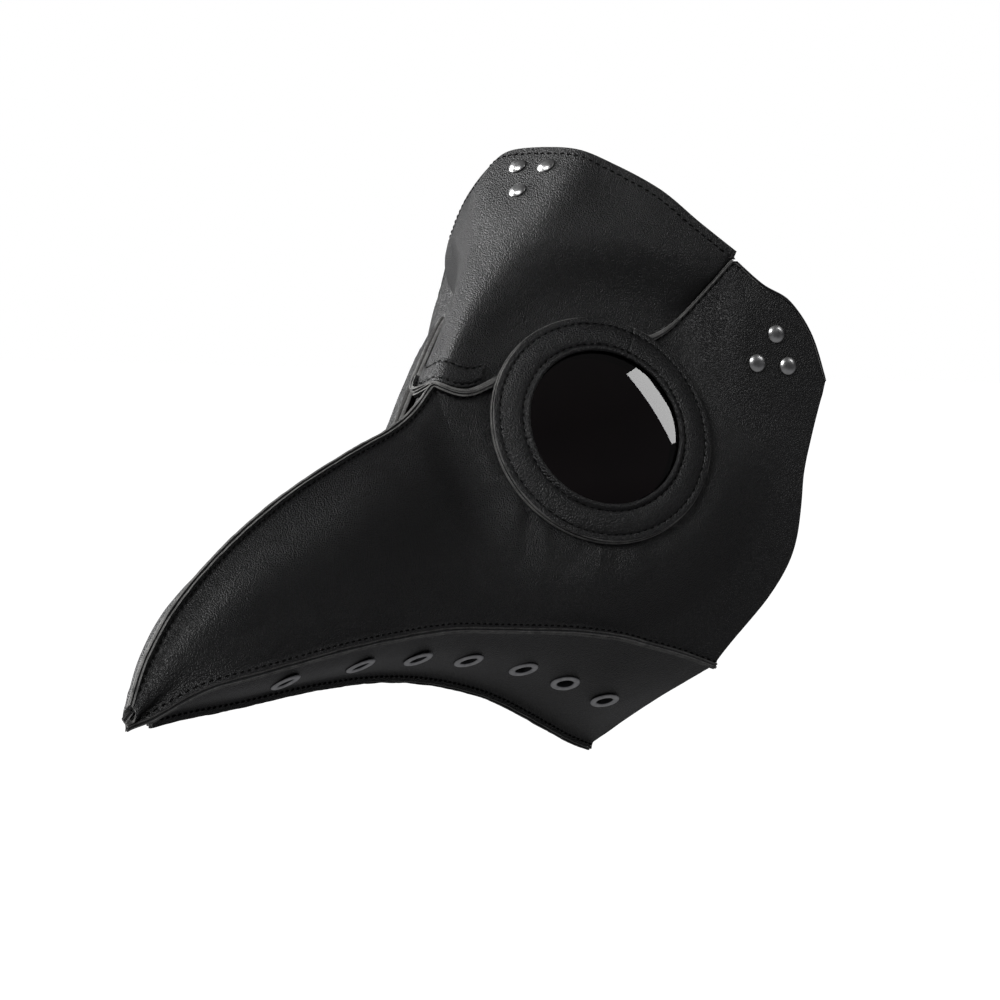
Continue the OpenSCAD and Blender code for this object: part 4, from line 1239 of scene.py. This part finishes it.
TAB_FRONT, TAB_REAR = -12.0, 10.2
for end, base, flip, seed in (("left", AT_STRAP, False, 2), ("right", AT_STRAP, True, 3),
                              ("top", AT_CROWN, False, 4)):
    strap(f"tab_{end}", base, TAB_FRONT, TAB_REAR + 0.8, TAB_Z, "root", (f"strap_tab_{end}",), flip,
          seed=seed, lines=False)
strap("left_run", AT_SIDE_RUN, FOLD_X - LEFT_RUN, FOLD_X, RUN_Z, "strap_left_run", ("strap_left_run",),
      seed=5)
tail_to = FOLD_X - 3
strap("left_tail", AT_SIDE_RUN, FOLD_X - LEFT_RUN, tail_to, TAIL_Z, "strap_left_tail", ("strap_left_tail",),
      holes=[(tail_to - 8 - 8 * k, 0, 1.6) for k in range(4)], round_end=STRAP_W / 2, seed=6)
strap("top_run", AT_TOP_RUN, FOLD_X - TOP_RUN, FOLD_X, RUN_Z, "strap_top", ("strap_top",),
      window=(FOLD_X - TOP_RUN + 4, FOLD_X - TOP_RUN + 12, 3 - STRAP_W / 2, STRAP_W / 2 - 3), seed=7,
      lines=False)
strap("right_run", AT_SIDE_RUN, BAR_X + 2.2, FOLD_X, RUN_Z, "strap_right", ("strap_right",), True,
      window=(BAR_X + 2.2, BAR_X + 5.4, -2.5, 2.5), seed=8)


# The inner and outer radius of a strap's fold at its tab and at its tail.
TAB_BEND, TAIL_BEND = (0.93, 2.95), (0.3, 2.3)
BEND_PIECES, BEND_ROWS, BEND_OVERLAP = 6, 25, 0.02


def strap_bend(name, base, centre, radii, end_angle, toward, flip=False):
    """A strap's bend about a fold line, in short arcs that each turn by their own share of the fold."""
    r_in, r_out = radii
    half = STRAP_W / 2

    def point(radius, angle, y):
        return [centre[0] + toward * radius * math.sin(angle), y, centre[1] + radius * math.cos(angle)]

    for n in range(BEND_PIECES):
        lo, hi = end_angle * n / BEND_PIECES, end_angle * (n + 1) / BEND_PIECES
        grid = []
        steps = np.linspace(lo - BEND_OVERLAP, hi + BEND_OVERLAP, 6)
        for angle in steps:
            grid.append([point(r_out, angle, y) for y in np.linspace(half, -half, BEND_ROWS)])
        grid = np.array(grid)
        radial = np.array([[[toward * math.sin(g), 0, math.cos(g)]] * BEND_ROWS for g in steps])
        p, f, k = sheet_parts(grid, 0, r_out - r_in, normals=radial)
        middle = (r_in + r_out) / 2
        c0, c1 = (placed([point(middle, g, 0)], base)[0] for g in (lo, hi))
        if flip:
            c0, c1 = c0 * FLIP, c1 * FLIP
        obj = solid(f"{name}_{n + 1}", (placed(p, base), f), ["strap", "back", "edge"], k, flip=flip,
                    body=None, slot="strap_leather", sharp=35)
        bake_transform(obj)


for end, base, lean, run, flip in (("left", AT_STRAP, SIDE_LEAN, "strap_left_run", False),
                                   ("right", AT_STRAP, SIDE_LEAN, "strap_right", True),
                                   ("top", AT_CROWN, TOP_LEAN, "strap_top", False)):
    turn = math.pi - math.radians(lean)
    strap_bend(f"{end}_bend", base, (FOLD_X, FOLD_Z), TAB_BEND, turn, 1, flip)
strap_bend("tail_bend", AT_SIDE_RUN, (FOLD_X - LEFT_RUN, TAIL_FOLD_Z), TAIL_BEND, math.pi, -1)


def sleeve(y0, y1, r_in, r_out, soft=0.25):
    """A short tube along Y round the buckle's bar."""
    m = move((BAR_X, 0, BAR_Z)) @ rot("X", -90)
    profile = [(r_in, y0 + soft), (r_in + soft, y0), (r_out - soft, y0), (r_out, y0 + soft),
               (r_out, y1 - soft), (r_out - soft, y1), (r_in + soft, y1), (r_in, y1 - soft)]
    return revolve_parts(profile, AT_SIDE_RUN @ m, 40)


solid("right_loop", joined([sleeve(-11, -2.5, 1.3, 2.4), sleeve(2.5, 11, 1.3, 2.4)]), ["strap"], flip=True,
      body="strap_right", slot="strap_leather")


def ribbon(path, out, width_dir, profile, closed=True, taper=None):
    """Sweeps a small cross-section, given as (along width_dir, along out), round a path."""
    n, m = len(path), len(profile)
    points, faces = [], []
    for c, o, w in zip(path, out, np.ones(n) if taper is None else taper):
        for a, b in profile:
            points.append(np.array(c) + a * w * np.array(width_dir) + b * w * np.array(o))
    for i in range(n if closed else n - 1):
        k = (i + 1) % n
        for j in range(m):
            j2 = (j + 1) % m
            faces.append((i * m + j, k * m + j, k * m + j2, i * m + j2))
    if not closed:
        faces += [tuple(range(m)), tuple((n - 1) * m + j for j in range(m))[::-1]]
    return points, faces


def rounded(w, h, r, steps=5):
    """A rounded rectangle w by h, as points."""
    out = []
    for cx, cy, a0 in ((w / 2 - r, h / 2 - r, 0), (r - w / 2, h / 2 - r, 90), (r - w / 2, r - h / 2, 180),
                       (w / 2 - r, r - h / 2, 270)):
        for k in range(steps + 1):
            a = math.radians(a0 + 90 * k / steps)
            out.append((cx + r * math.cos(a), cy + r * math.sin(a), math.cos(a), math.sin(a)))
    return out


keeper_mid = rounded(STRAP_W + 1.6, 4.5, 1.1)
keeper_z = RUN_Z - STRAP_T / 2 - 0.55
keeper_x = BAR_X + 4.2 + 2
p, f = ribbon([(keeper_x, y, keeper_z + z) for y, z, _, _ in keeper_mid],
              [(0, ny, nz) for _, _, ny, nz in keeper_mid], (1, 0, 0),
              [(a, b) for a, b, _, _ in rounded(4, 1.15, 0.35, 3)])
solid("keeper_loop", (placed(p, AT_SIDE_RUN), f), ["strap"], flip=True, body="strap_right",
      slot="strap_leather", replaces=("strap_keeper",), sharp=60)

arm_y, frame_x = STRAP_W / 2 + 0.4 + 1.3, BAR_X - 17 + 1.3
u_path = [(BAR_X + 1.8, arm_y)] + [(x, arm_y) for x in np.linspace(BAR_X, frame_x + 3, 6)]
u_path += [(frame_x + 3 - 3 * math.sin(a), arm_y - 3 + 3 * math.cos(a))
           for a in np.radians(np.arange(15, 91, 15))]
u_path = np.array(u_path + [(x, -y) for x, y in u_path[::-1]])
u_dir = unit(np.gradient(u_path, axis=0))
p, f = ribbon([(x, y, BAR_Z) for x, y in u_path], [(-d[1], d[0], 0) for d in u_dir], (0, 0, 1),
              [(a, b) for a, b, _, _ in rounded(2.4, 2.6, 0.85, 4)], closed=False)
bar_end, bar_shoulder = arm_y + 0.9, arm_y + 0.7
bar_profile = [(0, -bar_end), (1.0, -bar_end), (1.2, -bar_shoulder), (1.2, bar_shoulder), (1.0, bar_end),
               (0, bar_end)]
bar = revolve_parts(bar_profile, move((BAR_X, 0, BAR_Z)) @ rot("X", -90), 32)
p, f = joined([(p, f), bar])
solid("buckle_frame_metal", (placed(p, AT_SIDE_RUN), f), ["buckle"], flip=True, body="buckle_frame",
      slot="buckle_steel", replaces=("buckle_frame",), sharp=50)

prong_xs = np.linspace(-16.3, -0.2, 18)
path = np.array([(BAR_X + x, 0, BAR_Z - 1.8 - 0.12 * math.sin(math.pi * (x + 16.3) / 16)) for x in prong_xs])
taper = np.interp(prong_xs, [-16.3, -15.6, -10, 0], [0.45, 0.8, 1.0, 1.0])
p, f = ribbon(path, [(0, 0, 1)] * len(path), (0, 1, 0), [(a, b) for a, b, _, _ in rounded(2.2, 1.0, 0.45, 4)],
              closed=False, taper=taper)
tongue = (placed(p, AT_SIDE_RUN), f)
solid("buckle_prong_metal", joined([tongue, sleeve(-1.5, 1.5, 1.25, 2.3)]), ["buckle"], flip=True,
      body="buckle_prong", slot="buckle_steel", replaces=("buckle_prong",), sharp=50)

# ---------------------------------------------------------------------------
# Floor and the end
# ---------------------------------------------------------------------------
floor_mesh = bpy.data.meshes.new("floor")
FLOOR_HALF, FLOOR_Z = 30, -1.2
corners = [(x * FLOOR_HALF, y * FLOOR_HALF, FLOOR_Z) for x, y in ((-1, -1), (1, -1), (1, 1), (-1, 1))]
floor_mesh.from_pydata(corners, [], [(0, 1, 2, 3)])
floor = bpy.data.objects.new("floor", floor_mesh)
scene.collection.objects.link(floor)
pale = Nodes("floor_pale")
pale.set(Base_Color=pale.ramp(pale.noise(0.4), (0.9, 0.9, 0.9), (0.93, 0.93, 0.93)), Roughness=0.9,
         Emission_Color=(1, 1, 1, 1), Emission_Strength=1.0)
floor_mesh.materials.append(pale.material)
floor.visible_diffuse = floor.visible_glossy = floor.visible_transmission = floor.visible_shadow = False
